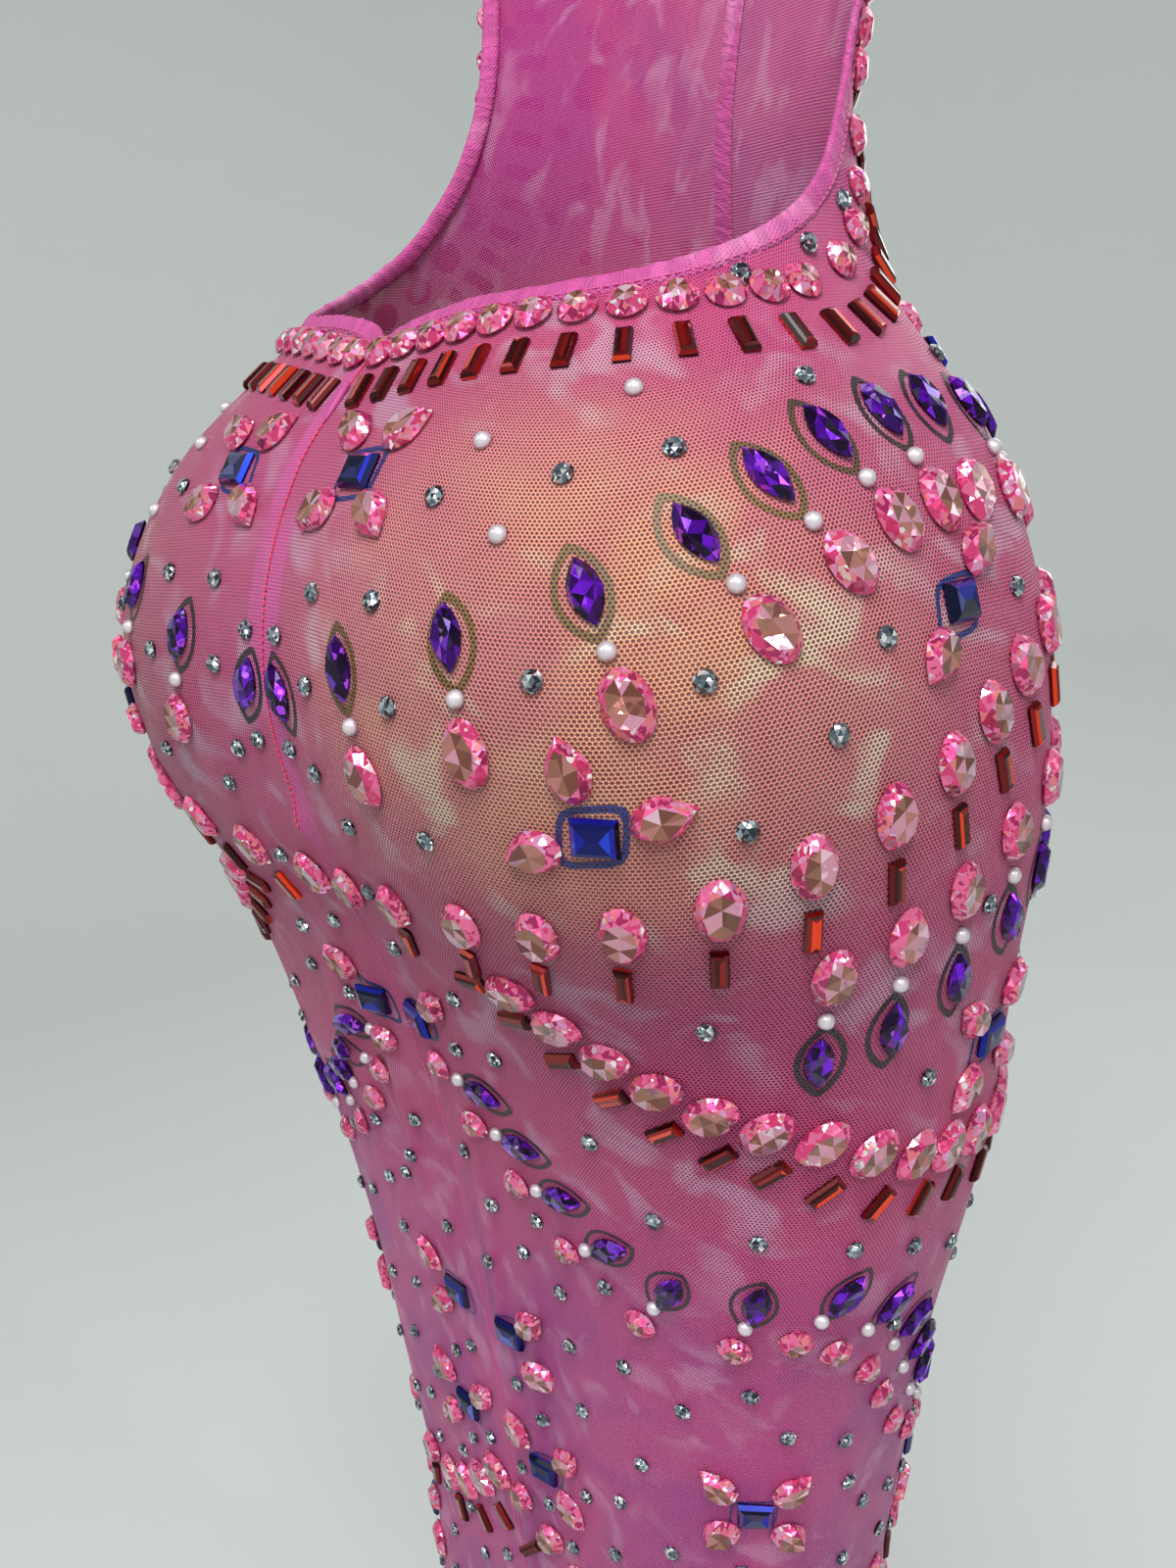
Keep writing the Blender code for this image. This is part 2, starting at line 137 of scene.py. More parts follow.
LIGHTS = [
    # name, place, aim, width, height, watts
    ("ceiling_panel", (-0.55, 0.75, 0.95), (0.0, 0.05, -0.55), 0.7, 0.5, 21),
    ("window", (-2.0, 0.5, 0.6), (0.0, 0.0, -0.5), 0.9, 1.2, 5.2),
    ("back_panel", (0.6, 1.8, 0.8), (0.0, 0.0, -0.6), 0.9, 0.9, 7.8),
    ("front_panel", (0.4, -1.9, 0.2), (0.0, 0.0, -0.6), 1.2, 1.4, 8.5),
    ("spot_near", (-0.9, 1.0, 0.6), (-0.1, 0.1, -0.55), 0.10, 0.10, 9),
    ("spot_far", (-1.5, -0.2, 0.8), (-0.1, 0.1, -0.7), 0.10, 0.10, 3),
]
for name, place, target, width, height, watts in LIGHTS:
    lamp = bpy.data.lights.new(name, "AREA")
    lamp.shape, lamp.size, lamp.size_y, lamp.energy = "RECTANGLE", width, height, watts
    holder = shown(name, lamp)
    holder.location = place
    holder.rotation_euler = (Vector(target) - Vector(place)).to_track_quat("-Z", "Y").to_euler()


# Body halves: nylon power mesh, cut in two and joined at the centre back and centre front. It is stretched
# over the hips, where its holes open and its threads look paler, and hangs slack and dense in the skirt.
HEM_HEIGHT = 0.070
BAND_HEIGHT, BAND_THICKNESS = 0.022, 0.003
BOTTOM_HEM_HEIGHT, BOTTOM_HEM_THICKNESS = 0.018, 0.0028
WALL = 0.002
BAND_FOOT = NECK_HEIGHT - BAND_HEIGHT / 2
SEAM_GAP = 0.0003
SECTIONS = [
    # height, half width, back depth, front depth, squareness of the back
    (1.460, 0.056, 0.056, 0.056, 2.0),
    (1.400, 0.066, 0.058, 0.062, 2.0),
    (1.340, 0.100, 0.064, 0.080, 2.0),
    (1.240, 0.134, 0.070, 0.110, 2.1),
    (1.140, 0.117, 0.053, 0.088, 2.1),
    (1.060, 0.094, 0.042, 0.071, 2.3),
    (1.000, 0.106, 0.069, 0.072, 2.5),
    (0.950, 0.146, 0.116, 0.078, 2.9),
    (0.900, 0.164, 0.137, 0.088, 3.2),
    (0.850, 0.167, 0.132, 0.093, 3.2),
    (0.790, 0.160, 0.104, 0.096, 3.1),
    (0.720, 0.152, 0.084, 0.096, 3.0),
    (0.640, 0.134, 0.071, 0.101, 2.9),
    (0.560, 0.121, 0.064, 0.108, 2.7),
    (0.480, 0.110, 0.060, 0.112, 2.5),
    (0.300, 0.116, 0.068, 0.108, 2.3),
    (0.060, 0.150, 0.100, 0.120, 2.1),
]
FRONT_SQUARE = 2.15
# Radius of the round form on which places are laid out flat to work out how far apart they lie.
FLAT_RADIUS = 0.130
TROUGH_DEPTH, TROUGH_HEIGHT, TROUGH_REACH, TROUGH_ANGLE = 0.0068, 0.86, 0.085, 20.0
FLUTES, FLUTE_DEPTH, FLUTE_TOP = 8, 0.004, 0.42
EDGE = [
    (0, 0.986), (8, 0.991), (25, 0.995), (45, 0.997), (62, 1.001), (76, 1.009), (88, 1.021), (97, 1.036),
    (106, 1.058), (113, 1.090), (117, 1.140), (119, 1.200), (121, 1.260), (124, 1.320), (127, 1.370),
    (128, 1.405), (128, BAND_FOOT - SEAM_GAP),
]
HEM_WIDTH = 0.006

# Soft creases, from one end to the other: signed angle and height (the wearer's right is positive),
# then half width and depth in metres; a negative depth is a trough.
CREASES = [
    # angle, height, angle, height, half width, depth
    (-4, 0.815, -22, 0.640, 0.006, 0.0026),
    (6, 0.800, -6, 0.640, 0.007, -0.0022),
    (16, 0.770, 4, 0.560, 0.006, 0.0024),
    (-18, 0.800, -40, 0.660, 0.007, 0.0024),
    (27, 0.700, 13, 0.540, 0.006, 0.0016),
    (12, 0.600, 2, 0.430, 0.007, 0.0018),
    (30, 0.520, 22, 0.380, 0.008, -0.0016),
    (30, 0.700, 22, 0.560, 0.010, -0.0012),
    (48, 0.640, 40, 0.420, 0.012, 0.0015),
    (80, 0.560, 74, 0.380, 0.012, -0.0015),
    (-52, 0.640, -60, 0.430, 0.010, 0.0016),
    (-90, 0.600, -84, 0.400, 0.012, 0.0014),
    (-30, 0.520, -24, 0.330, 0.012, -0.0016),
    (130, 0.640, 138, 0.430, 0.012, 0.0014),
    (-128, 0.620, -136, 0.440, 0.012, 0.0014),
    (165, 0.560, 158, 0.340, 0.012, -0.0014),
    (-150, 1.120, -138, 1.060, 0.008, 0.0012),
    (148, 1.110, 136, 1.056, 0.008, 0.0012),
]
# At the foot of the hollow along the back seam a small pucker stands out: angle, height, reach and depth.
PUCKER = (0.0, 0.846, 0.006, 0.0024)


def hermite(x, column):
    """Smooth value of a column of the sections at heights x."""
    rows = np.array(SECTIONS[::-1])
    knots, values = rows[:, 0], rows[:, column]
    slopes = np.empty(len(rows))
    slopes[1:-1] = (values[2:] - values[:-2]) / (knots[2:] - knots[:-2])
    slopes[0] = (values[1] - values[0]) / (knots[1] - knots[0])
    slopes[-1] = (values[-1] - values[-2]) / (knots[-1] - knots[-2])
    x = np.clip(x, knots[0], knots[-1])
    i = np.clip(np.searchsorted(knots, x, side="right") - 1, 0, len(rows) - 2)
    span = knots[i + 1] - knots[i]
    t = (x - knots[i]) / span
    return ((1 + 2 * t) * (1 - t) ** 2 * values[i] + t * (1 - t) ** 2 * span * slopes[i]
            + t * t * (3 - 2 * t) * values[i + 1] + t * t * (t - 1) * span * slopes[i + 1])


def cloth(angle, height, creased=True):
    """Points on the cloth's face for signed angles in degrees and heights."""
    angle, height = np.broadcast_arrays(np.asarray(angle, float), np.asarray(height, float))
    width, back, front, square = (hermite(height, column) for column in (1, 2, 3, 4))
    around = np.radians(angle)
    side, along = np.sin(around), np.cos(around)
    depth, power = np.where(along > 0, back, front), np.where(along > 0, square, FRONT_SQUARE)
    radius = ((np.abs(side) / width) ** power + (np.abs(along) / depth) ** power) ** (-1 / power)
    radius = radius - (TROUGH_DEPTH * np.exp(-(angle / TROUGH_ANGLE) ** 2)
                       * np.exp(-((height - TROUGH_HEIGHT) / TROUGH_REACH) ** 2))
    fall = np.clip((FLUTE_TOP - height) / (FLUTE_TOP - HEM_HEIGHT), 0, 1)
    radius = radius + FLUTE_DEPTH * fall * fall * (3 - 2 * fall) * np.cos(FLUTES * around)
    if creased:
        metres = np.radians(1.0) * FLAT_RADIUS
        for a0, h0, a1, h1, reach, deep in CREASES:
            run = np.array([(a1 - a0) * metres, h1 - h0])
            t = ((angle - a0) * metres * run[0] + (height - h0) * run[1]) / run.dot(run)
            away = ((angle - a0) * metres * run[1] - (height - h0) * run[0]) / math.sqrt(run.dot(run))
            fade = np.clip(1 - (2 * t - 1) ** 2, 0, None)
            radius = radius + deep * fade * np.exp(-(away / reach) ** 2)
        a0, h0, reach, deep = PUCKER
        away = np.hypot((angle - a0) * metres, height - h0)
        radius = radius + deep * np.exp(-(away / reach) ** 2)
    return np.stack([-radius * side, radius * along, height - NECK_HEIGHT], -1)


def cloth_frame(side, angle, height, creased=True):
    """Place, step towards the front and up the cloth, both with their lengths, and the outward normal."""
    angle, height = np.asarray(angle, float), np.asarray(height, float)
    place = cloth(side * angle, height, creased)
    forward = (cloth(side * (angle + 0.2), height, creased) - cloth(side * (angle - 0.2), height, creased)) / 0.4
    upward = (cloth(side * angle, height + 0.001, creased) - cloth(side * angle, height - 0.001, creased)) / 0.002
    normal = np.cross(forward, upward) * side
    return place, forward, upward, normal / np.linalg.norm(normal, axis=-1, keepdims=True)


def slide(angle, height, ahead, up):
    """Angle and height after moving over the cloth, in metres, towards the front and up."""
    _, forward, upward, _ = cloth_frame(1, angle, height, False)
    length = np.linalg.norm(forward, axis=-1)
    lean = (upward * forward).sum(-1) / length
    slope = np.sqrt((upward * upward).sum(-1) - lean ** 2)
    rise = up / slope
    return angle + (ahead - rise * lean) / length, height + rise


def smooth_course(points, steps):
    """Catmull-Rom course through points, with the same number of steps between each two."""
    first = tuple(2 * a - b for a, b in zip(points[0], points[1]))
    last = tuple(2 * a - b for a, b in zip(points[-1], points[-2]))
    run = [first] + list(points) + [last]
    course = []
    for i in range(1, len(run) - 2):
        a, b, c, d = run[i - 1:i + 3]
        for step in range(steps):
            t = step / steps
            course.append(tuple(
                0.5 * (2 * q + (r - p) * t + (2 * p - 5 * q + 4 * r - s) * t * t + (3 * q - p - 3 * r + s) * t ** 3)
                for p, q, r, s in zip(a, b, c, d)))
    course.append(tuple(points[-1]))
    return course


def ray_directions(course):
    """At each point of a course, the step (ahead, up) that leads down across it."""
    course = np.array(course)
    _, forward, upward, _ = cloth_frame(1, course[:, 0], course[:, 1], False)
    run = np.gradient(course, axis=0)
    step = forward * run[:, :1] + upward * run[:, 1:]
    level = forward / np.linalg.norm(forward, axis=1, keepdims=True)
    slope = upward - level * (upward * level).sum(1, keepdims=True)
    slope /= np.linalg.norm(slope, axis=1, keepdims=True)
    step /= np.linalg.norm(step, axis=1, keepdims=True)
    return (step * slope).sum(1), -(step * level).sum(1)


def inside_edge(steps, by):
    """The open back's edge moved into the cloth by a distance, as arrays of angles and heights."""
    course = np.array(smooth_course(EDGE, steps))
    ahead, up = ray_directions(course)
    ahead[0], up[0], ahead[-1], up[-1] = 0.0, -1.0, 1.0, 0.0
    return slide(course[:, 0], course[:, 1], ahead * by, up * by)


def spaced(angles, heights, count):
    """A course of places divided evenly by its length on the cloth."""
    points = cloth(angles, heights, False)
    length = np.concatenate([[0], np.cumsum(np.linalg.norm(np.diff(points, axis=0), axis=1))])
    even = np.linspace(0, length[-1], count)
    return np.interp(even, length, angles), np.interp(even, length, heights)


ARC_ANGLES = np.arange(0.0, 181.0, 3.0)
ARC_HEIGHTS = np.arange(HEM_HEIGHT, NECK_HEIGHT + 0.01, 0.004)
columns = cloth(ARC_ANGLES[:, None], ARC_HEIGHTS[None, :], False)
ARC_LENGTHS = np.concatenate([np.zeros((len(ARC_ANGLES), 1)),
                              np.cumsum(np.linalg.norm(np.diff(columns, axis=1), axis=2), axis=1)], axis=1)
# The cut's width at any height: a degree of the body takes this much of the flat cloth.
CUT_PER_DEGREE = np.radians(1.0) * 0.150


def cut_place(side, angle, height):
    """Where a place lies on the flat cut, in metres: across from the centre back, and up from the hem."""
    a = np.clip(np.asarray(angle, float) / 3.0, 0, len(ARC_ANGLES) - 1.001)
    h = np.clip((np.asarray(height, float) - HEM_HEIGHT) / 0.004, 0, len(ARC_HEIGHTS) - 1.001)
    i, j = a.astype(int), h.astype(int)
    s, t = a - i, h - j
    up = ((ARC_LENGTHS[i, j] * (1 - s) + ARC_LENGTHS[i + 1, j] * s) * (1 - t)
          + (ARC_LENGTHS[i, j + 1] * (1 - s) + ARC_LENGTHS[i + 1, j + 1] * s) * t)
    return np.stack([side * CUT_PER_DEGREE * np.asarray(angle, float), up], -1)


def stretched(angle, height):
    """How far the mesh is stretched open, from 0 in the slack skirt to 1 over the fullest hip."""
    rise = np.clip((height - 0.62) / 0.17, 0, 1)
    fall = np.clip((1.06 - height) / 0.09, 0.30, 1)
    crown = 0.66 + 0.34 * np.exp(-((angle - 46) / 36) ** 2 - ((height - 0.87) / 0.085) ** 2)
    return rise * rise * (3 - 2 * rise) * fall * crown


def peach(angle, height):
    """Where the dye is washed out to peach, from 0 to 1: a wide patch on the right hip, a fainter one on the left."""
    def patch(middle):
        return np.exp(-((angle - middle) / 31) ** 2 - ((height - 0.901) / 0.061) ** 2)
    return patch(47) + 0.5 * patch(-54)


# Width of the trimmings of the seams, and the height at which those of the back change sides.
TRIMMING = 0.008
TURN_OVER = 0.938


def doubled(side, height):
    """How strongly the back seam's trimmings show through the mesh beside it, from 0 to 1."""
    over = np.clip((height - TURN_OVER) / 0.010 + 0.5, 0, 1)
    faint = 0.75 * np.clip((height - 0.872) / 0.022, 0, 1)
    low = np.clip((height - 0.825) / 0.025, 0.2, 1)
    return np.maximum(over, faint) if side < 0 else 0.9 * (1 - over) * low


def lay_cut(mesh, cut):
    """Gives a mesh its points' places on the flat cut as its UV map."""
    corners = np.empty(len(mesh.loops), np.int32)
    mesh.loops.foreach_get("vertex_index", corners)
    mesh.uv_layers.new(name="cut").data.foreach_set("uv", cut[corners].astype(np.float32).ravel())


def cloth_mesh(name, side, angle, height, lift=0.0, closed=False):
    """A grid of places as a mesh with the cut as its UV map and the stretch as an attribute."""
    place, _, _, normal = cloth_frame(side, angle, height)
    points = (place + normal * lift).reshape(-1, 3)
    rows, wide = angle.shape
    faces = []
    for i in range(rows - 1):
        for k in range(wide if closed else wide - 1):
            j = (k + 1) % wide
            face = (i * wide + k, i * wide + j, (i + 1) * wide + j, (i + 1) * wide + k)
            faces.append(face if side > 0 else face[::-1])
    mesh = bpy.data.meshes.new(name)
    mesh.from_pydata(points.tolist(), [], faces)
    mesh.polygons.foreach_set("use_smooth", [True] * len(faces))
    lay_cut(mesh, cut_place(side, angle, height).reshape(-1, 2))
    for label, values in (("stretch", stretched(angle, height)), ("peach", peach(side * angle, height)),
                          ("doubled", doubled(side, height))):
        mesh.attributes.new(label, "FLOAT", "POINT").data.foreach_set("value", values.astype(np.float32).ravel())
    return shown(name, mesh)


# The net's holes are drawn 1.2 mm apart in the cut, where real power mesh has about 0.9 mm, so that they show.
MESH_PITCH = 0.0012


def hole_pattern(tree):
    """Height of a hexagonal net in the cut's plane, highest in the middle of each hole."""
    cut = add(tree, "UVMap", uv_map="cut").outputs[0]
    wave = 2 * math.pi / (MESH_PITCH * math.cos(math.radians(30)))
    total = None
    for degrees in (90, 30, -30):
        step = Vector((math.cos(math.radians(degrees)), math.sin(math.radians(degrees)), 0)) * wave
        along = add(tree, "VectorMath", {0: cut, 1: step}, operation="DOT_PRODUCT").outputs["Value"]
        ripple = add(tree, "Math", {0: along}, operation="COSINE").outputs[0]
        total = ripple if total is None else add(tree, "Math", {0: total, 1: ripple}).outputs[0]
    return total


def clouds(tree, size, lean, low, high, seed):
    """Soft blotches of a hand-dyed cloth, from 0 to 1: width and length in metres, and lean in degrees."""
    where = add(tree, "UVMap", uv_map="cut").outputs[0]
    where = add(tree, "Mapping", {0: where, 1: (seed, seed, 0), 2: (0, 0, math.radians(lean)),
                                  3: (size[0], size[1], 1)}, vector_type="TEXTURE").outputs[0]
    noise = add(tree, "TexNoise", {"Vector": where, "Scale": 1.0, "Detail": 2.0, "Distortion": 0.4},
                noise_dimensions="2D")
    return add(tree, "MapRange", {0: noise.outputs[0], 1: low, 2: high},
               interpolation_type="SMOOTHSTEP").outputs[0]


# Dyes: deep pink where the mesh is slack, a clear pink where it is stretched, peach over the hip, with pale or
# cream spots where it was tied, and a brighter pink where a trimming lies behind it.
DEEP, MID, PEACH = "#AA2E87", "#D04281", "#FDB08A"
PALE_SPOT, CREAM, TWO_LAYERS = "#DDA3C6", "#FBE4BC", "#E64FA8"
# The net's height above which there is a hole: above its highest point where slack, and at half where stretched.
CLOSED, OPEN = 2.9, 0.0
# How see-through the middle of a hole is: less than all, because a hole drawn this coarse stands for finer ones;
# the rest of the hole is painted shade, as if a shadowed inside showed through.
SEE_THROUGH = 0.45


def power_mesh(name):
    """Dyed nylon power mesh: knitted, matt with a faint sheen, with its holes partly see-through and painted with
    shade.
    """
    material, out = new_material(name)
    tree = material.node_tree
    net = hole_pattern(tree)
    stretch = add(tree, "Attribute", attribute_name="stretch").outputs["Fac"]
    tight = add(tree, "MapRange", {0: stretch, 3: CLOSED, 4: OPEN}).outputs[0]
    past = add(tree, "Math", {0: net, 1: tight}, operation="SUBTRACT").outputs[0]
    hole = add(tree, "MapRange", {0: past, 1: -0.10, 2: 0.20, 4: SEE_THROUGH}).outputs[0]

    washed = add(tree, "Attribute", attribute_name="peach").outputs["Fac"]
    warm = add(tree, "MapRange", {0: washed, 1: 0.05, 2: 0.78}, interpolation_type="SMOOTHSTEP").outputs[0]
    slack = add(tree, "MapRange", {0: stretch, 1: 0.0, 2: 0.60}, interpolation_type="SMOOTHSTEP").outputs[0]
    wash = clouds(tree, (0.09, 0.07), 30, 0.42, 0.60, 3.3)
    wash = add(tree, "Math", {0: wash, 1: 0.45}, operation="MULTIPLY").outputs[0]
    bleach = clouds(tree, (0.026, 0.019), -34, 0.50, 0.70, 11.7)
    sparse = clouds(tree, (0.075, 0.060), 10, 0.34, 0.54, 7.1)
    bleach = add(tree, "Math", {0: bleach, 1: sparse}, operation="MULTIPLY").outputs[0]
    share = add(tree, "MapRange", {0: stretch, 1: 0.2, 2: 0.95, 3: 0.34, 4: 0.85}).outputs[0]
    bleach = add(tree, "Math", {0: bleach, 1: share}, operation="MULTIPLY").outputs[0]
    cut = add(tree, "SeparateXYZ", {0: add(tree, "UVMap", uv_map="cut").outputs[0]}).outputs[0]
    cut = add(tree, "Math", {0: cut}, operation="ABSOLUTE").outputs[0]
    beside = add(tree, "MapRange", {0: cut, 1: 0.0092, 2: 0.0102, 3: 1.0, 4: 0.0}).outputs[0]
    doubled = add(tree, "Attribute", attribute_name="doubled").outputs["Fac"]
    doubled = add(tree, "Math", {0: beside, 1: doubled}, operation="MULTIPLY").outputs[0]
    single = add(tree, "Math", {0: 1.0, 1: doubled}, operation="SUBTRACT").outputs[0]
    hole = add(tree, "Math", {0: hole, 1: single}, operation="MULTIPLY").outputs[0]
    dye, spot = linear(DEEP), linear(PALE_SPOT)
    for share, tint in ((slack, MID), (warm, PEACH), (wash, MID)):
        dye = add(tree, "Mix", {0: share, 6: dye, 7: linear(tint)}, data_type="RGBA").outputs[2]
    spot = add(tree, "Mix", {0: warm, 6: spot, 7: linear(CREAM)}, data_type="RGBA").outputs[2]
    dye = add(tree, "Mix", {0: bleach, 6: dye, 7: spot}, data_type="RGBA").outputs[2]
    dye = add(tree, "Mix", {0: doubled, 6: dye, 7: linear(TWO_LAYERS)}, data_type="RGBA").outputs[2]
    # Painted shade: the dye is darkened in the holes and round their edges, as if a shadowed inside showed through,
    # and lightened a little on the threads between them.
    shade = add(tree, "MapRange", {0: past, 1: -2.0, 2: 0.1, 3: 1.08, 4: 0.22}).outputs[0]
    dye = add(tree, "Mix", {0: 1.0, 6: dye, 7: shade}, data_type="RGBA", blend_type="MULTIPLY").outputs[2]
    relief = add(tree, "Bump", {"Strength": 0.55, "Distance": 0.0004, "Height": net}, invert=True).outputs[0]
    nylon = add(tree, "BsdfPrincipled", {
        "Base Color": dye, "Roughness": 0.46, "Sheen Weight": 0.15, "Sheen Roughness": 0.4, "Normal": relief})
    gap = add(tree, "BsdfTransparent")
    mix = add(tree, "MixShader", {0: hole, 1: nylon.outputs[0], 2: gap.outputs[0]})
    tree.links.new(mix.outputs[0], out.inputs[0])
    material.use_transparent_shadow = False
    return material


body_mesh = power_mesh("nylon_power_mesh")

ACROSS, UPWARD = 220, 300
low_height = HEM_HEIGHT + BOTTOM_HEM_HEIGHT + SEAM_GAP
edge_angles, edge_heights = inside_edge(24, HEM_WIDTH + SEAM_GAP)
neck_angles = np.linspace(edge_angles[-1], 180, 20)[1:]
top_angles, top_heights = spaced(np.concatenate([edge_angles, neck_angles]),
                                 np.concatenate([edge_heights, np.full(19, edge_heights[-1])]), ACROSS + 1)
s = np.linspace(0, 1, ACROSS + 1)[None, :]
t = np.linspace(0, 1, UPWARD + 1)[:, None]
grid_angles = (1 - t) * 180 * s + t * top_angles[None, :]
grid_heights = (1 - t) * low_height + t * top_heights[None, :]
# Half of the gap at the seams, as an angle.
edge_step = math.degrees(0.5 * SEAM_GAP / 0.1)
grid_angles = np.clip(grid_angles, edge_step, 180 - edge_step)

for side, name in ((1, "right"), (-1, "left")):
    panel = cloth_mesh(f"cloth_{name}", side, grid_angles, grid_heights)
    panel.data.materials.append(body_mesh)
    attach(panel, "root")
    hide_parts(f"panel_{name}")


# Stones: what a maker glues on. Big cut stones of foil-backed glass lie in swags and crosses, mirrored on the
# two halves; a half pearl sits inside each ray of some swags, and small clear stones fill the gaps left.
CUTS = {
    # length, width, height, corners of the girdle, table share, keel share, point
    "round": (0.0115, 0.0115, 0.0035, 16, 0.50, 0.00, 0.00),
    "oval": (0.0180, 0.0130, 0.0040, 16, 0.70, 0.34, 0.00),
    "drop": (0.0170, 0.0120, 0.0040, 16, 0.68, 0.00, 0.75),
    "navette": (0.0180, 0.0090, 0.0035, 16, 0.66, 0.34, 0.90),
    "clear": (0.0060, 0.0060, 0.0022, 12, 0.58, 0.00, 0.00),
}
STEP_CUTS = {
    # length, width, height, share of the table, share of the step
    "baguette": (0.0120, 0.0050, 0.0025, 0.50, 0.78),
    "square": (0.0125, 0.0105, 0.0030, 0.62, 0.84),
}
PEARL = 0.0052
GIRDLE, FOOT, HOLLOW = 0.0009, 0.00005, 0.0003

SWAGS = [
    # stones of one ray with how far each lies below the row, steps between course points, degrees by which the
    # first and last ray lean to the back, course (angle, height)
    ([("round", 0), ("baguette", 0.0155)], 4, (0, 0),
     [(4, 0.981), (32, 0.987), (60, 0.990), (84, 0.996), (99, 1.015), (109, 1.045), (115.5, 1.092), (120, 1.165),
      (124, 1.250), (131, 1.345)]),
    ([("navette", 0), ("pearl", 0.0155), ("oval", 0.0295)], 3, (0, 0),
     [(4, 0.890), (46, 0.924), (70, 0.956), (96, 0.961), (124, 0.944), (150, 0.912), (173, 0.896)]),
    ([("oval", 0), ("baguette", 0.018)], 2, (30, -10),
     [(5, 0.826), (31, 0.833), (48, 0.841), (63, 0.858), (78, 0.875), (90, 0.894), (104, 0.906), (122, 0.902),
      (142, 0.882), (166, 0.864)]),
    ([("oval", 0), ("pearl", 0.0145), ("navette", 0.029)], 2, (15, 0),
     [(66, 0.825), (81, 0.838), (97, 0.858), (114, 0.862), (134, 0.850), (160, 0.826)]),
    ([("oval", 0), ("baguette", 0.0175)], 2, (42, 0),
     [(35, 0.810), (46, 0.792), (57, 0.778), (68, 0.768), (80, 0.753), (92, 0.746), (106, 0.742), (124, 0.746),
      (144, 0.758), (168, 0.772)]),
    ([("navette", 0), ("pearl", 0.012), ("round", 0.024)], 2, (40, -10),
     [(22, 0.754), (37, 0.722), (54, 0.699), (74, 0.705), (90, 0.672), (102, 0.630), (118, 0.604), (140, 0.600),
      (166, 0.612)]),
    ([("oval", 0), ("baguette", 0.0175)], 2, (0, 0),
     [(8, 0.548), (30, 0.522), (52, 0.512), (84, 0.526), (124, 0.506), (168, 0.520)]),
    ([("navette", 0), ("pearl", 0.012), ("round", 0.024)], 2, (0, 0),
     [(9, 0.425), (48, 0.390), (88, 0.410), (128, 0.390), (170, 0.425)]),
    ([("oval", 0), ("baguette", 0.0175)], 2, (0, 0),
     [(9, 0.285), (48, 0.250), (88, 0.270), (128, 0.250), (170, 0.285)]),
    ([("round", 0)], 2, (0, 0), [(6, 0.145), (46, 0.125), (88, 0.138), (130, 0.125), (172, 0.145)]),
    ([("navette", 0), ("pearl", 0.0145), ("oval", 0.029)], 2, (0, 0), [(128, 1.130), (148, 1.105), (172, 1.096)]),
    ([("oval", 0), ("baguette", 0.0175)], 2, (0, 0), [(133, 1.290), (152, 1.262), (172, 1.252)]),
]
CROSSES = [
    # angle and height of a square stone, and the turn of the first of the four drops round it
    (16, 0.950, 45), (46, 0.868, 18), (81, 0.914, 45), (7, 0.774, 40), (92, 0.780, 50), (13, 0.636, 45),
    (20, 0.573, 45), (68, 0.600, 45), (132, 0.805, 45), (122, 0.690, 45), (156, 0.690, 45), (110, 0.975, 45),
    (152, 0.960, 45), (118, 0.560, 45), (64, 0.460, 45), (140, 0.460, 45), (36, 0.335, 45), (108, 0.335, 45),
    (68, 0.195, 45), (146, 0.195, 45), (150, 1.180, 45), (165, 1.330, 45),
]
CROSS_ARM = 0.0175
# The stones nearest to the back seam have no pearl or oval below them, within this angle of it.
BARE_SEAM = 6.0
# Loose pearls between the top row and the first swag, as angle and height.
LOOSE_PEARLS = [(52, 0.968), (35, 0.957), (38, 0.936)]
# Loose clear stones beside the back seam, above and below its pair of pointed ovals.
LOOSE_CLEAR = [(3.6, 0.906), (4.0, 0.873), (9.5, 0.868)]
# Least gap between large stones, least room and spacing of the small ones, spacing of those at the open edge.
STONE_GAP, SMALL_GAP, SMALL_SPACING, EDGE_SPACING = 0.0002, 0.0072, 0.023, 0.028
# How far a round stone may stand over the cloth's edge, and how near another stone has to be to touch.
ROUND_OVERHANG, TOUCHING, PEARL_TOUCHING = 0.011, 0.028, 0.02


def foot(kind, angle, height, turn):
    """The outline of a stone on the flat pattern, as the solids have it."""
    length, width = (CUTS.get(kind) or STEP_CUTS[kind])[:2]
    corners = {"baguette": 4, "square": 4, "drop": 5}.get(kind, 6)
    around = 2 * np.pi * np.arange(corners) / corners
    x, y = (np.array([1, -1, -1, 1]), np.array([1, 1, -1, -1])) if corners == 4 else (np.cos(around), np.sin(around))
    ahead = 0.5 * (x * length * math.cos(turn) - y * width * math.sin(turn))
    up = 0.5 * (x * length * math.sin(turn) + y * width * math.cos(turn))
    a, h = slide(np.full(corners, float(angle)), np.full(corners, float(height)), ahead, up)
    return np.stack([np.radians(a) * FLAT_RADIUS, h], -1)


def clear_of(points, outline):
    """Least distance from points to an outline, below zero for points inside it."""
    start, run = outline, np.roll(outline, -1, axis=0) - outline
    share = np.clip(((points[:, None] - start) * run).sum(-1) / (run * run).sum(-1), 0, 1)
    distance = np.linalg.norm(points[:, None] - start - run * share[..., None], axis=-1).min(1)
    crossed = (start[:, 1] > points[:, None, 1]) != (np.roll(start[:, 1], -1) > points[:, None, 1])
    with np.errstate(divide="ignore", invalid="ignore"):
        at = start[:, 0] + (points[:, None, 1] - start[:, 1]) / run[:, 1] * run[:, 0]
    inside = (crossed & (points[:, None, 0] < at)).sum(1) % 2 == 1
    return np.where(inside, -distance, distance)


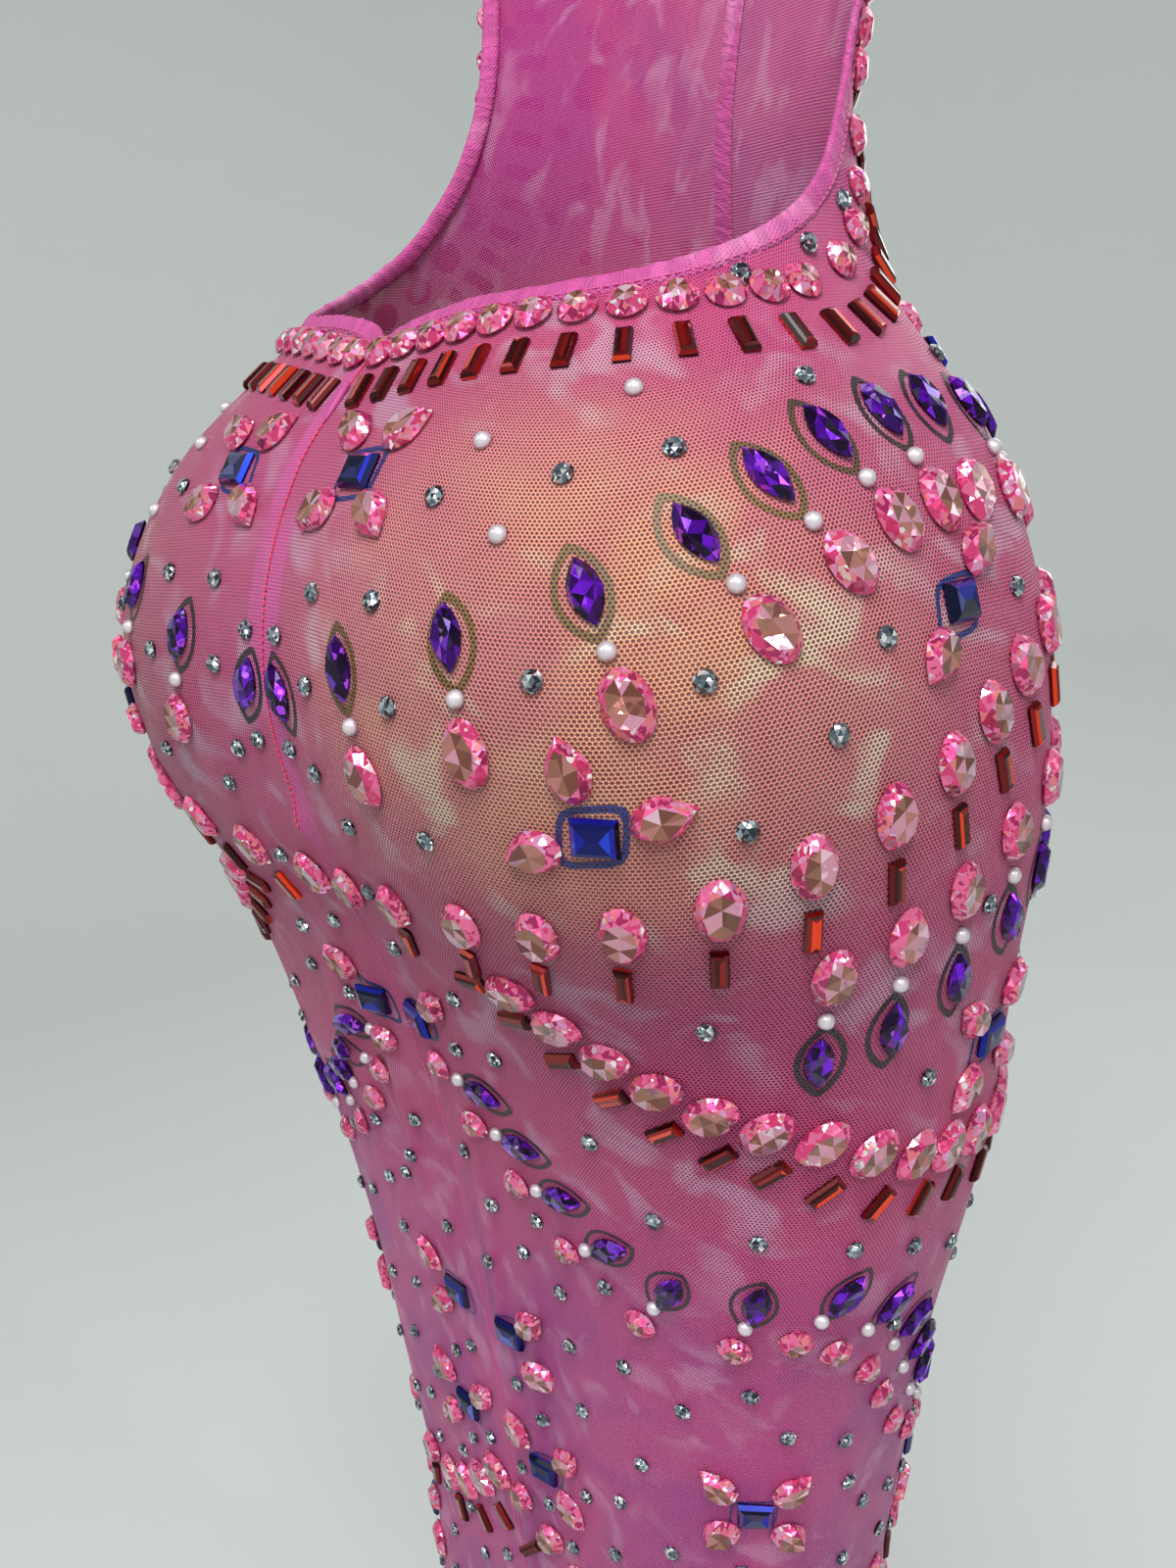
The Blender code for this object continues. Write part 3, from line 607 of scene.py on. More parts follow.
# The outline of one half laid out flat, inside its hems.
border_a, border_h = inside_edge(3, HEM_WIDTH + SEAM_GAP)
border = np.stack([np.radians(np.concatenate([[0, 0], border_a, [180, 180]])) * FLAT_RADIUS,
                   np.concatenate([[low_height, 0.98], border_h, [border_h[-1], low_height]])], -1)

# Every stone as kind, angle, height and turn. The first to be laid keeps its place, and one that would touch it
# or stand over the edge is left out.
laid = []
for rays, steps, leans, points in SWAGS:
    course = smooth_course(points, steps)
    lean = np.radians(np.linspace(*leans, len(course)))
    across, down = ray_directions(course)
    across, down = across * np.cos(lean) + down * np.sin(lean), down * np.cos(lean) - across * np.sin(lean)
    for (angle, height), ahead, up in zip(course, across, down):
        for kind, drop in rays:
            if kind == "pearl" and angle < BARE_SEAM:
                break
            at = slide(angle, height, ahead * drop, up * drop)
            laid.append((kind, float(at[0]), float(at[1]), math.atan2(up, ahead)))
for angle, height, first in CROSSES:
    laid.append(("square", angle, height, 0.0))
    for quarter in range(4):
        turn = math.radians(first + 90 * quarter)
        at = slide(angle, height, CROSS_ARM * math.cos(turn), CROSS_ARM * math.sin(turn))
        laid.append(("drop", float(at[0]), float(at[1]), turn))
laid += [("pearl", angle, height, 0.0) for angle, height in LOOSE_PEARLS]

stones = []
outlines = []
for big in (True, False):
    for kind, angle, height, turn in laid:
        if (kind != "pearl") != big:
            continue
        middle = np.array([math.radians(angle) * FLAT_RADIUS, height])
        if big:
            shape = foot(kind, angle, height, turn)
            if clear_of(shape, border).max() > (ROUND_OVERHANG if kind == "round" else -STONE_GAP) or angle < 2.6:
                continue
            if any(np.linalg.norm(o.mean(0) - middle) < TOUCHING
                   and min(clear_of(shape, o).min(), clear_of(o, shape).min()) < STONE_GAP for o in outlines):
                continue
            outlines.append(shape)
        elif (clear_of(middle[None], border)[0] > -0.006
              or any(np.linalg.norm(o.mean(0) - middle) < PEARL_TOUCHING and clear_of(middle[None], o)[0] < PEARL / 2
                     for o in outlines)):
            continue
        stones.append((kind, angle, height, turn))

# Small clear stones go one at a time to the widest gap left, so they end up spread between the rows. The places
# tried are a grid of about 5 mm by 2 degrees, and each has its room to the nearest stone or edge.
spots = np.array([(a + 0.9 * (j % 2), h) for j, h in enumerate(np.arange(low_height + 0.006, 1.42, 0.005))
                  for a in np.arange(1.5, 179, 1.9)])
flat_spots = np.stack([np.radians(spots[:, 0]) * FLAT_RADIUS, spots[:, 1]], -1)
room = -clear_of(flat_spots, border) - 0.004
for shape in outlines:
    near = np.linalg.norm(flat_spots - shape.mean(0), axis=1) < 0.06
    room[near] = np.minimum(room[near], clear_of(flat_spots[near], shape))
for kind, angle, height, turn in stones:
    if kind == "pearl":
        away = np.linalg.norm(flat_spots - (math.radians(angle) * FLAT_RADIUS, height), axis=1)
        room = np.minimum(room, away - PEARL / 2)
stones += [("clear", angle, height, 0.0) for angle, height in LOOSE_CLEAR]
for angle, height in LOOSE_CLEAR:
    away = np.linalg.norm(flat_spots - (math.radians(angle) * FLAT_RADIUS, height), axis=1)
    room = np.where(away < SMALL_SPACING * 0.7, -1.0, room)
wobble = np.random.default_rng(7).uniform(-0.003, 0.003, len(room))
while True:
    best = int(np.argmax(np.minimum(room, SMALL_SPACING * 0.8) + wobble))
    if room[best] < SMALL_GAP:
        break
    stones.append(("clear", spots[best][0], spots[best][1], 0.0))
    away = np.linalg.norm(flat_spots - flat_spots[best], axis=1)
    room = np.where(away < SMALL_SPACING, -1.0, np.minimum(room, away))
    room[best] = -1.0

# A spaced row of the same small stones runs just inside the open edge's stitching, from the waist upwards.
ROW_INSIDE, ROW_FROM, ROW_LENGTH = 0.0105, 56, 0.62
row_a, row_h = inside_edge(24, ROW_INSIDE)
row_a, row_h = spaced(row_a[row_a > ROW_FROM], row_h[row_a > ROW_FROM], int(ROW_LENGTH / EDGE_SPACING))
for angle, height in zip(row_a, row_h):
    here = np.array([[math.radians(angle) * FLAT_RADIUS, height]])
    if all(clear_of(here, o)[0] > 0.002 for o in outlines if np.linalg.norm(o.mean(0) - here[0]) < 0.03):
        stones.append(("clear", angle, height, 0.0))

placing = bpy.data.node_groups.new("set_in_place", "GeometryNodeTree")
for label, kind in (("Places", "Geometry"), ("Piece", "Object"), ("Finish", "Material"), ("Seed", "Int")):
    placing.interface.new_socket(label, in_out="INPUT", socket_type="NodeSocket" + kind)
placing.interface.new_socket("Set", in_out="OUTPUT", socket_type="NodeSocketGeometry")
given = placing.nodes.new("NodeGroupInput").outputs
piece_info = add(placing, "GeometryNodeObjectInfo", {"Object": given["Piece"]})
out_along, along_along = (add(placing, "GeometryNodeInputNamedAttribute", {"Name": n}, data_type="FLOAT_VECTOR")
                          for n in ("outward", "along"))
facing = add(placing, "FunctionNodeAxesToRotation", {0: out_along.outputs[0], 1: along_along.outputs[0]},
             primary_axis="Z", secondary_axis="X")
put = add(placing, "GeometryNodeInstanceOnPoints", {
    "Points": given["Places"], "Instance": piece_info.outputs["Geometry"], "Rotation": facing.outputs[0]})
chance = add(placing, "FunctionNodeRandomValue", {"Seed": given["Seed"]}, data_type="FLOAT")
marked = add(placing, "GeometryNodeStoreNamedAttribute", {
    "Geometry": put.outputs[0], "Name": "own", "Value": chance.outputs[1]}, data_type="FLOAT", domain="INSTANCE")
real = add(placing, "GeometryNodeRealizeInstances", {0: marked.outputs[0]})
finished = add(placing, "GeometryNodeSetMaterial", {"Geometry": real.outputs[0], "Material": given["Finish"]})
placing.links.new(finished.outputs[0], placing.nodes.new("NodeGroupOutput").inputs[0])


def set_in_place(name, small_mesh, places, outward, along, finish, seed):
    """One plain mesh of a small piece repeated at places, facing outward with its length along the way given."""
    base = shown(name + "_single", small_mesh)
    points = bpy.data.meshes.new(name + "_places")
    points.from_pydata([tuple(p) for p in places], [], [])
    for label, vectors in (("outward", outward), ("along", along)):
        points.attributes.new(label, "FLOAT_VECTOR", "POINT").data.foreach_set(
            "vector", np.asarray(vectors, np.float32).ravel())
    holder = shown(name + "_holder", points)
    modifier = holder.modifiers.new("set_in_place", "NODES")
    modifier.node_group = placing
    sockets = {s.name: s.identifier for s in placing.interface.items_tree if s.in_out == "INPUT"}
    modifier[sockets["Piece"]], modifier[sockets["Finish"]], modifier[sockets["Seed"]] = base, finish, seed
    graph = bpy.context.evaluated_depsgraph_get()
    mesh = bpy.data.meshes.new_from_object(holder.evaluated_get(graph), depsgraph=graph)
    holder.modifiers.clear()
    mesh.name = name
    piece = shown(name, mesh)
    for spent in (base, holder):
        bpy.data.objects.remove(spent)
    return piece


def outwards(mesh):
    """Turns a closed mesh's faces outwards."""
    bm = bmesh.new()
    bm.from_mesh(mesh)
    bmesh.ops.recalc_face_normals(bm, faces=bm.faces)
    bm.to_mesh(mesh)
    bm.free()


def bands(count, around, first=0):
    """Faces between rings of as many points each, one ring after another."""
    return [(first + around * r + k, first + around * (r + 1) + k, first + around * (r + 1) + (k + 1) % around,
             first + around * r + (k + 1) % around) for r in range(count) for k in range(around)]


def solid(name, points, faces, smooth=False):
    """A small mesh whose faces each carry their own number, for a colour of their own with painted reflection, and a
    gleam of their own. Those of a flat table, where the foil shows, are numbered below zero."""
    mesh = bpy.data.meshes.new(name)
    mesh.from_pydata(points, [], faces)
    outwards(mesh)
    mesh.polygons.foreach_set("use_smooth", [smooth] * len(faces))
    top = max(p[2] for p in points) - 1e-6
    numbers = [-i - 1.0 if min(points[k][2] for k in face) > top else i + 1.0 for i, face in enumerate(faces)]
    mesh.attributes.new("facet", "FLOAT", "FACE").data.foreach_set("value", numbers)
    return mesh


def brilliant(kind):
    """A cut stone: girdle, crown of kites and triangles, and a table divided as the facets below it show."""
    length, width, height, corners, table, keel, tip = CUTS[kind]
    half = corners // 2

    def ring(count, share, z, offset):
        points = []
        for k in range(count):
            a = 2 * math.pi * (k + offset) / count
            x, y = math.cos(a), math.sin(a)
            if kind == "navette":
                y *= abs(math.sin(a)) ** tip
            elif kind == "drop" and x > 0:
                y *= 1 - tip * x ** 1.6
            points.append((0.5 * length * share * x, 0.5 * width * share * y, z))
        return points

    top = ring(half, table, height, 0)
    middle = ring(half, 0.5 + 0.5 * table, GIRDLE + 0.62 * (height - GIRDLE), 0.5)
    girdle = ring(corners, 1.0, GIRDLE, 0)
    base = ring(corners, 0.90, FOOT, 0)
    points = top + middle + girdle + base
    t, m, g, b = 0, half, 2 * half, 2 * half + corners
    ends = [(0.5 * length * table * keel, 0, height), (-0.5 * length * table * keel, 0, height)]
    if not keel:
        ends = [(-0.04 * length if kind == "drop" else 0.0, 0, height)]
    centre = len(points)
    points = points + ends
    faces = []
    for j in range(half):
        n = (j + 1) % half
        near = centre + (1 if keel and top[j][0] + top[n][0] < 0 else 0)
        faces.append((near, t + j, t + n))
        if keel and (j == half // 4 or j == 3 * half // 4):
            faces.append((t + j, centre + 1, centre) if j == half // 4 else (t + j, centre, centre + 1))
        faces.append((t + j, m + j, t + n))
        faces.append((t + j, m + (j - 1) % half, g + 2 * j, m + j))
        faces.append((m + j, g + 2 * j, g + 2 * j + 1))
        faces.append((m + j, g + 2 * j + 1, g + (2 * j + 2) % corners))
    for k in range(corners):
        n = (k + 1) % corners
        faces.append((g + k, b + k, b + n, g + n))
    points.append((0, 0, HOLLOW))
    faces += [(b + k, len(points) - 1, b + (k + 1) % corners) for k in range(corners)]
    return solid(kind, points, faces)


def step_cut(kind):
    """A four-cornered stone with one step below its table; each end and side of the table shows its own facet."""
    length, width, height, table, step = STEP_CUTS[kind]
    corners = [(1, 1), (-1, 1), (-1, -1), (1, -1)]
    points = []
    for share, z in ((table, height), (step, height * 0.80), (1.0, GIRDLE), (0.94, FOOT)):
        inset = 0.5 * width * (1 - share)
        points += [((0.5 * length - inset) * x, 0.5 * width * share * y, z) for x, y in corners]
    ridge = 0.5 * (length - width) * 0.9 + 0.0006
    points += [(ridge, 0, height), (-ridge, 0, height), (0, 0, HOLLOW)]
    faces = [(0, 3, 16), (1, 2, 17), (0, 16, 17, 1), (3, 2, 17, 16)]
    faces += bands(3, 4)
    faces += [(12 + k, 18, 12 + (k + 1) % 4) for k in range(4)]
    return solid(kind, points, faces)


def half_pearl():
    """A low dome, drilled nowhere, glued by its flat."""
    rings, around = 4, 12
    points = [(0, 0, PEARL * 0.5)]
    for r in range(1, rings + 1):
        a = math.radians(96) * r / rings
        points += [(0.5 * PEARL * math.sin(a) * math.cos(2 * math.pi * k / around),
                    0.5 * PEARL * math.sin(a) * math.sin(2 * math.pi * k / around), 0.5 * PEARL * math.cos(a))
                   for k in range(around)]
    faces = [(0, 1 + k, 1 + (k + 1) % around) for k in range(around)] + bands(rings - 1, around, 1)
    faces.append(tuple(1 + (rings - 1) * around + k for k in range(around)))
    return solid("pearl", points, faces, True)


def foiled_glass(name, *rims, chipped, tilt, metal):
    """Cut glass over a mirror foil, its reflections painted: each facet is given a colour at random, from dark to a
    bright painted glint, for the part of the room its foil would mirror, under the clear gloss of the stone's own
    face.
    The shades of the rim, and of the table if it has its own, run from 0 to 1 by the share of facets they cover, and
    mix the stone's own colour with painted reflection. Chipped is how far the fine facets of the rim differ, in
    painted colour and in gleam, and tilt how far each facet's gleam is turned from its face."""
    material, out = new_material(name)
    tree = material.node_tree
    facet = add(tree, "Attribute", attribute_name="facet").outputs["Fac"]
    own = add(tree, "Attribute", attribute_name="own").outputs["Fac"]
    number = add(tree, "Math", {0: own, 1: 917.0, 2: facet}, operation="MULTIPLY_ADD").outputs[0]
    number = add(tree, "Math", {0: number}, operation="ROUND").outputs[0]
    chance = add(tree, "TexWhiteNoise", {"W": number}, noise_dimensions="1D")
    where = add(tree, "TexCoord").outputs["Object"]
    chips = add(tree, "TexVoronoi", {"Vector": where, "Scale": 700.0}).outputs["Color"]
    fine = add(tree, "SeparateXYZ", {0: chips}).outputs[0]
    table = add(tree, "Math", {0: facet, 1: 0.0}, operation="LESS_THAN").outputs[0]
    spread = add(tree, "MapRange", {0: table, 3: chipped, 4: 0.06 * chipped}).outputs[0]
    draw = add(tree, "Math", {0: fine, 1: spread, 2: chance.outputs["Value"]},
               operation="MULTIPLY_ADD").outputs[0]
    draw = add(tree, "Math", {0: draw}, operation="FRACT").outputs[0]
    tint_and_glint_ramps = []
    for shades in rims:
        ramp = add(tree, "ValToRGB", {0: draw})
        ramp.color_ramp.interpolation = "CONSTANT"
        stops = ramp.color_ramp.elements
        while len(stops) < len(shades):
            stops.new(0.5)
        for stop, (place, shade) in zip(stops, shades):
            stop.position, stop.color = place, linear(shade)
        tint_and_glint_ramps.append(ramp.outputs[0])
    tint_and_glints = add(tree, "Mix", {0: table, 6: tint_and_glint_ramps[0], 7: tint_and_glint_ramps[-1]}, data_type="RGBA").outputs[2]
    lean = add(tree, "VectorMath", {0: chance.outputs["Color"], 1: (0.5, 0.5, 0.5)}, operation="SUBTRACT")
    chip = add(tree, "VectorMath", {0: chips, 1: (0.5, 0.5, 0.5)}, operation="SUBTRACT")
    lean = add(tree, "VectorMath", {0: lean.outputs[0], 1: (tilt,) * 3}, operation="MULTIPLY")
    chip = add(tree, "VectorMath", {0: chip.outputs[0], 1: (tilt * chipped,) * 3, 2: lean.outputs[0]},
               operation="MULTIPLY_ADD")
    face = add(tree, "NewGeometry").outputs["Normal"]
    face = add(tree, "VectorMath", {0: face, 1: chip.outputs[0]})
    face = add(tree, "VectorMath", {0: face.outputs[0]}, operation="NORMALIZE")
    glass = add(tree, "BsdfPrincipled", {
        "Base Color": tint_and_glints, "Metallic": metal, "Roughness": 0.14, "Normal": face.outputs[0],
        "Specular IOR Level": 0.3, "Coat Weight": 0.3, "Coat Roughness": 0.02})
    tree.links.new(glass.outputs[0], out.inputs[0])
    return material


# Each list runs from the stone's own colour to painted reflection: the palest and white shades are painted glints.
pink = foiled_glass("rose_foiled_glass", [
    (0.0, "#E4467F"), (0.28, "#F272A2"), (0.52, "#B02C66"), (0.70, "#F0838C"), (0.84, "#E79AC8"),
    (0.955, "#FFF2F4")], [
    (0.0, "#7E4A40"), (0.24, "#9C6A58"), (0.46, "#BC7C74"), (0.68, "#D898AC"), (0.90, "#F2C8D8")],
    chipped=0.3, tilt=0.8, metal=0.5)
siam = foiled_glass("siam_foiled_glass", [
    (0.0, "#3C0204"), (0.34, "#6A0508"), (0.70, "#940B08"), (0.90, "#F2421A")],
    chipped=0.0, tilt=0.5, metal=0.6)
violet = foiled_glass("violet_foiled_glass", [
    (0.0, "#1A002E"), (0.34, "#3A0068"), (0.62, "#5604A4"), (0.84, "#7A18E0"), (0.95, "#C04CFF")],
    chipped=0.1, tilt=0.8, metal=0.6)
cobalt = foiled_glass("cobalt_foiled_glass", [
    (0.0, "#03052E"), (0.34, "#070F62"), (0.70, "#0D1DA0"), (0.92, "#2044E0")],
    chipped=0.0, tilt=0.5, metal=0.6)
# Clear glass has no colour of its own: all its greys and its white are painted reflection.
clear = foiled_glass("clear_foiled_glass", [
    (0.0, "#343B43"), (0.30, "#6E7983"), (0.60, "#A9B5BE"), (0.86, "#FFFFFF")],
    chipped=0.4, tilt=1.0, metal=0.75)

nacre, nacre_out = new_material("pearl_coated_bead")
# Painted shade: the bead's colour is painted darker towards its edge, where it turns away from the view.
edge = add(nacre.node_tree, "LayerWeight", {"Blend": 0.35}).outputs["Facing"]
lustre = add(nacre.node_tree, "TexNoise", {"Scale": 240.0, "Detail": 1.0}).outputs[0]
body = add(nacre.node_tree, "Mix", {0: lustre, 6: linear("#EFE8EC"), 7: linear("#D8CCD6")},
           data_type="RGBA").outputs[2]
body = add(nacre.node_tree, "Mix", {0: edge, 6: body, 7: linear("#9C8A98")}, data_type="RGBA").outputs[2]
bead = add(nacre.node_tree, "BsdfPrincipled", {
    "Base Color": body, "Metallic": 0.35, "Roughness": 0.30, "Coat Weight": 1.0, "Coat Roughness": 0.08})
nacre.node_tree.links.new(bead.outputs[0], nacre_out.inputs[0])

SORTS = [
    # stone, name of the piece, finish
    ("round", "rose_rounds", pink), ("oval", "rose_ovals", pink), ("drop", "rose_drops", pink),
    ("navette", "violet_navettes", violet), ("baguette", "siam_baguettes", siam), ("square", "cobalt_squares", cobalt),
    ("clear", "clear_stones", clear), ("pearl", "half_pearls", nacre),
]
# A stone beside the open edge lies over its hem; a pearl's flat and a stone's foot lie on the cloth's outer face.
BESIDE_HEM, OVER_HEM, OVER_MESH, BED, DEEPEST_BED = 0.0058, 0.0006, 0.0004, 0.0001, 0.0012
for seed, (kind, name, finish) in enumerate(SORTS):
    chosen = [(side,) + stone[1:] for stone in stones if stone[0] == kind for side in (1, -1)]
    rows = []
    for side, angle, height, turn in chosen:
        place, ahead, up, normal = cloth_frame(side, angle, height)
        if clear_of(np.array([[math.radians(angle) * FLAT_RADIUS, height]]), border)[0] > -BESIDE_HEM:
            place = place + normal * OVER_HEM
        if kind == "pearl":
            place = place + normal * OVER_MESH
        else:
            rim = foot(kind, angle, height, turn)
            bed = (cloth(side * np.degrees(rim[:, 0] / FLAT_RADIUS), rim[:, 1]) - place) @ normal
            place = place + normal * np.clip(bed.max() + BED, 0.0, DEEPEST_BED)
        ahead = ahead / np.linalg.norm(ahead)
        up = up - ahead * (up @ ahead)
        up = up / np.linalg.norm(up)
        rows.append((place, normal, ahead * math.cos(turn) + up * math.sin(turn)))
    small = half_pearl() if kind == "pearl" else step_cut(kind) if kind in STEP_CUTS else brilliant(kind)
    piece = set_in_place(name, small, *(np.array(column) for column in zip(*rows)), finish, seed)
    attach(piece, "root")
    print(name, len(chosen), "stones", len(piece.data.polygons), "faces")


# Printed outlines: a line round each violet and each blue stone, printed on the threads of the mesh.
def printed_mesh(name, bright, dark):
    """Ink on the mesh's threads: olive over the peach dye, and dark elsewhere; its holes are painted with shade."""
    material, out = new_material(name)
    tree = material.node_tree
    net = hole_pattern(tree)
    stretch = add(tree, "Attribute", attribute_name="stretch").outputs["Fac"]
    tight = add(tree, "MapRange", {0: stretch, 3: CLOSED, 4: OPEN}).outputs[0]
    past = add(tree, "Math", {0: net, 1: tight}, operation="SUBTRACT").outputs[0]
    hole = add(tree, "MapRange", {0: past, 1: -0.10, 2: 0.20, 4: 0.50}).outputs[0]
    washed = add(tree, "Attribute", attribute_name="peach").outputs["Fac"]
    under = add(tree, "MapRange", {0: washed, 1: 0.12, 2: 0.55}).outputs[0]
    ink = add(tree, "Mix", {0: under, 6: linear(dark), 7: linear(bright)}, data_type="RGBA").outputs[2]
    # Painted shade: the ink is darkened in the holes and round their edges, as if a shadowed inside showed through,
    # and lightened on the threads between them.
    shade = add(tree, "MapRange", {0: past, 1: -1.6, 2: 0.1, 3: 1.3, 4: 0.08}).outputs[0]
    ink = add(tree, "Mix", {0: 1.0, 6: ink, 7: shade}, data_type="RGBA", blend_type="MULTIPLY").outputs[2]
    print_on = add(tree, "BsdfPrincipled", {"Base Color": ink, "Roughness": 0.5})
    gap = add(tree, "BsdfTransparent")
    mix = add(tree, "MixShader", {0: hole, 1: print_on.outputs[0], 2: gap.outputs[0]})
    tree.links.new(mix.outputs[0], out.inputs[0])
    material.use_transparent_shadow = False
    return material


PRINTS = [
    # stone, name, half length and half width inside, width of the line where stretched, points, bright, dark
    ("navette", "olive_outlines", 0.0104, 0.0055, 0.0021, 28, "#7C5E2E", "#33262E"),
    ("square", "navy_outlines", 0.0076, 0.0064, 0.0018, 24, "#2A3C8A", "#22306E"),
]
# The square's outline was drawn as a slightly turned lozenge.
SQUARE_SPIN, SQUARE_SLANT = 0.12, 0.22
for kind, name, reach, breadth, line, count, bright, dark in PRINTS:
    ink = printed_mesh(name + "_ink", bright, dark)
    parts = []
    for kind_of, angle, height, turn in stones:
        if kind_of != kind:
            continue
        around = 2 * np.pi * np.arange(count) / count
        grids = []
        taut = float(stretched(angle, height))
        # The print lies a little off its stone, by another amount at each place.
        astray = 0.0011 * math.sin(40 * angle), -0.0008 + 0.0006 * math.sin(900 * height)
        for out_by in (line * (0.35 + 0.65 * taut), 0.0):
            if kind == "navette":
                x = (reach + 1.4 * out_by) * np.cos(around)
                y = (breadth + 0.0012 * (1 - taut) + out_by) * np.sin(around) * np.abs(np.sin(around)) ** 0.60
            else:
                size = (np.abs(np.cos(around)) ** 5 + np.abs(np.sin(around)) ** 5) ** -0.2
                x, y = (reach + out_by) * size * np.cos(around), (breadth + out_by) * size * np.sin(around)
                x = x + SQUARE_SLANT * y
            spin = turn if kind == "navette" else SQUARE_SPIN
            grids.append(slide(np.full(count, float(angle)), np.full(count, float(height)),
                               x * math.cos(spin) - y * math.sin(spin) + astray[0],
                               x * math.sin(spin) + y * math.cos(spin) + astray[1]))
        angles, heights = (np.stack([g[i] for g in grids]) for i in (0, 1))
        if angles.min() < 0.2 or angles.max() > 179.8:
            continue
        for side in (1, -1):
            parts.append(cloth_mesh(name, side, angles, heights, 0.00015, True))
    whole = bmesh.new()
    for part in parts:
        whole.from_mesh(part.data)
    whole.to_mesh(parts[0].data)
    whole.free()
    for part in parts[1:]:
        bpy.data.objects.remove(part)
    parts[0].name = name
    parts[0].data.materials.append(ink)
    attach(parts[0], "root")


# Turned hems: the cloth's own edge folded in, double and so without open holes, held by a row of stitches that
# gathers it slightly. The open back has a narrow one, the skirt a deep one, and the neck a folded band.
def hem_mesh(name, shade, cloud):
    """Doubled power mesh: the holes of the two layers close each other, leaving a fine grain. Its pits and the troughs
    of its puckers are painted darker, as painted shade.
    """
    material, out = new_material(name)
    tree = material.node_tree
    net = hole_pattern(tree)
    bleach = clouds(tree, (0.03, 0.03), 0, 0.50, 0.72, 5.0)
    dye = add(tree, "Mix", {0: bleach, 6: linear(shade), 7: linear(cloud)}, data_type="RGBA").outputs[2]
    gather = clouds(tree, (0.016, 0.0030), 14, 0.36, 0.64, 9.0)
    # Painted shade: the net's pits and the troughs of the gathered puckers darken the dye.
    pit_and_pucker_shade = add(tree, "MapRange", {0: net, 1: 3.0, 2: -1.5, 3: 0.82, 4: 1.0}).outputs[0]
    pit_and_pucker_shade = add(tree, "Math", {0: pit_and_pucker_shade, 1: add(tree, "MapRange", {
        0: gather, 3: 0.80, 4: 1.0}).outputs[0]}, operation="MULTIPLY").outputs[0]
    dye = add(tree, "Mix", {0: 1.0, 6: dye, 7: pit_and_pucker_shade}, data_type="RGBA", blend_type="MULTIPLY").outputs[2]
    relief = add(tree, "Bump", {"Strength": 0.6, "Distance": 0.0005, "Height": gather}).outputs[0]
    relief = add(tree, "Bump", {"Strength": 0.35, "Distance": 0.0003, "Height": net, "Normal": relief},
                 invert=True).outputs[0]
    nylon = add(tree, "BsdfPrincipled", {
        "Base Color": dye, "Roughness": 0.55, "Sheen Weight": 0.12, "Sheen Roughness": 0.4, "Normal": relief})
    tree.links.new(nylon.outputs[0], out.inputs[0])
    return material


turned = hem_mesh("doubled_power_mesh", "#CB4A98", "#DE80B8")


def folded(name, sections, closed):
    """A hem from its cross sections along its course, with the cut as its UV map."""
    sections = np.asarray(sections)
    count, around = sections.shape[:2]
    faces = [(i * around + k, i * around + (k + 1) % around, (i + 1) % count * around + (k + 1) % around,
              (i + 1) % count * around + k) for i in range(count if closed else count - 1) for k in range(around)]
    if not closed:
        faces += [tuple(range(around)), tuple((count - 1) * around + k for k in range(around))]
    mesh = bpy.data.meshes.new(name)
    mesh.from_pydata(sections.reshape(-1, 3).tolist(), [], faces)
    outwards(mesh)
    mesh.polygons.foreach_set("use_smooth", [True] * len(faces))
    run = np.linalg.norm(np.diff(sections.mean(1), axis=0), axis=1)
    along = np.concatenate([[0], np.cumsum(run)])
    wide = np.concatenate([[0], np.cumsum(np.linalg.norm(np.diff(sections[0], axis=0), axis=1))])
    lay_cut(mesh, np.stack(np.meshgrid(wide, along), -1).reshape(-1, 2))
    mesh.materials.append(turned)
    return shown(name, mesh)


def gathered(length, seed):
    """Uneven small puckers along a stitched hem, from -1 to 1."""
    rng = np.random.default_rng(seed)
    waves = sum(rng.uniform(0.4, 1) * np.sin(2 * np.pi * length / pitch + rng.uniform(0, 6))
                for pitch in (0.0053, 0.0071, 0.0094, 0.0170, 0.031))
    return waves / 2.5


# Cross section of the narrow hem: distance from the fold, and height above the cloth's face.
NARROW = [(0.0066, 0.0001), (0.0052, 0.0004), (0.0030, 0.0004), (0.0012, 0.0003), (0.0003, 0.0000),
          (0.0000, -0.0008), (0.0003, -0.0016), (0.0014, -0.0022), (0.0032, -0.0023), (0.0052, -0.0021),
          (0.0066, -0.0016), (0.0066, -0.0008)]
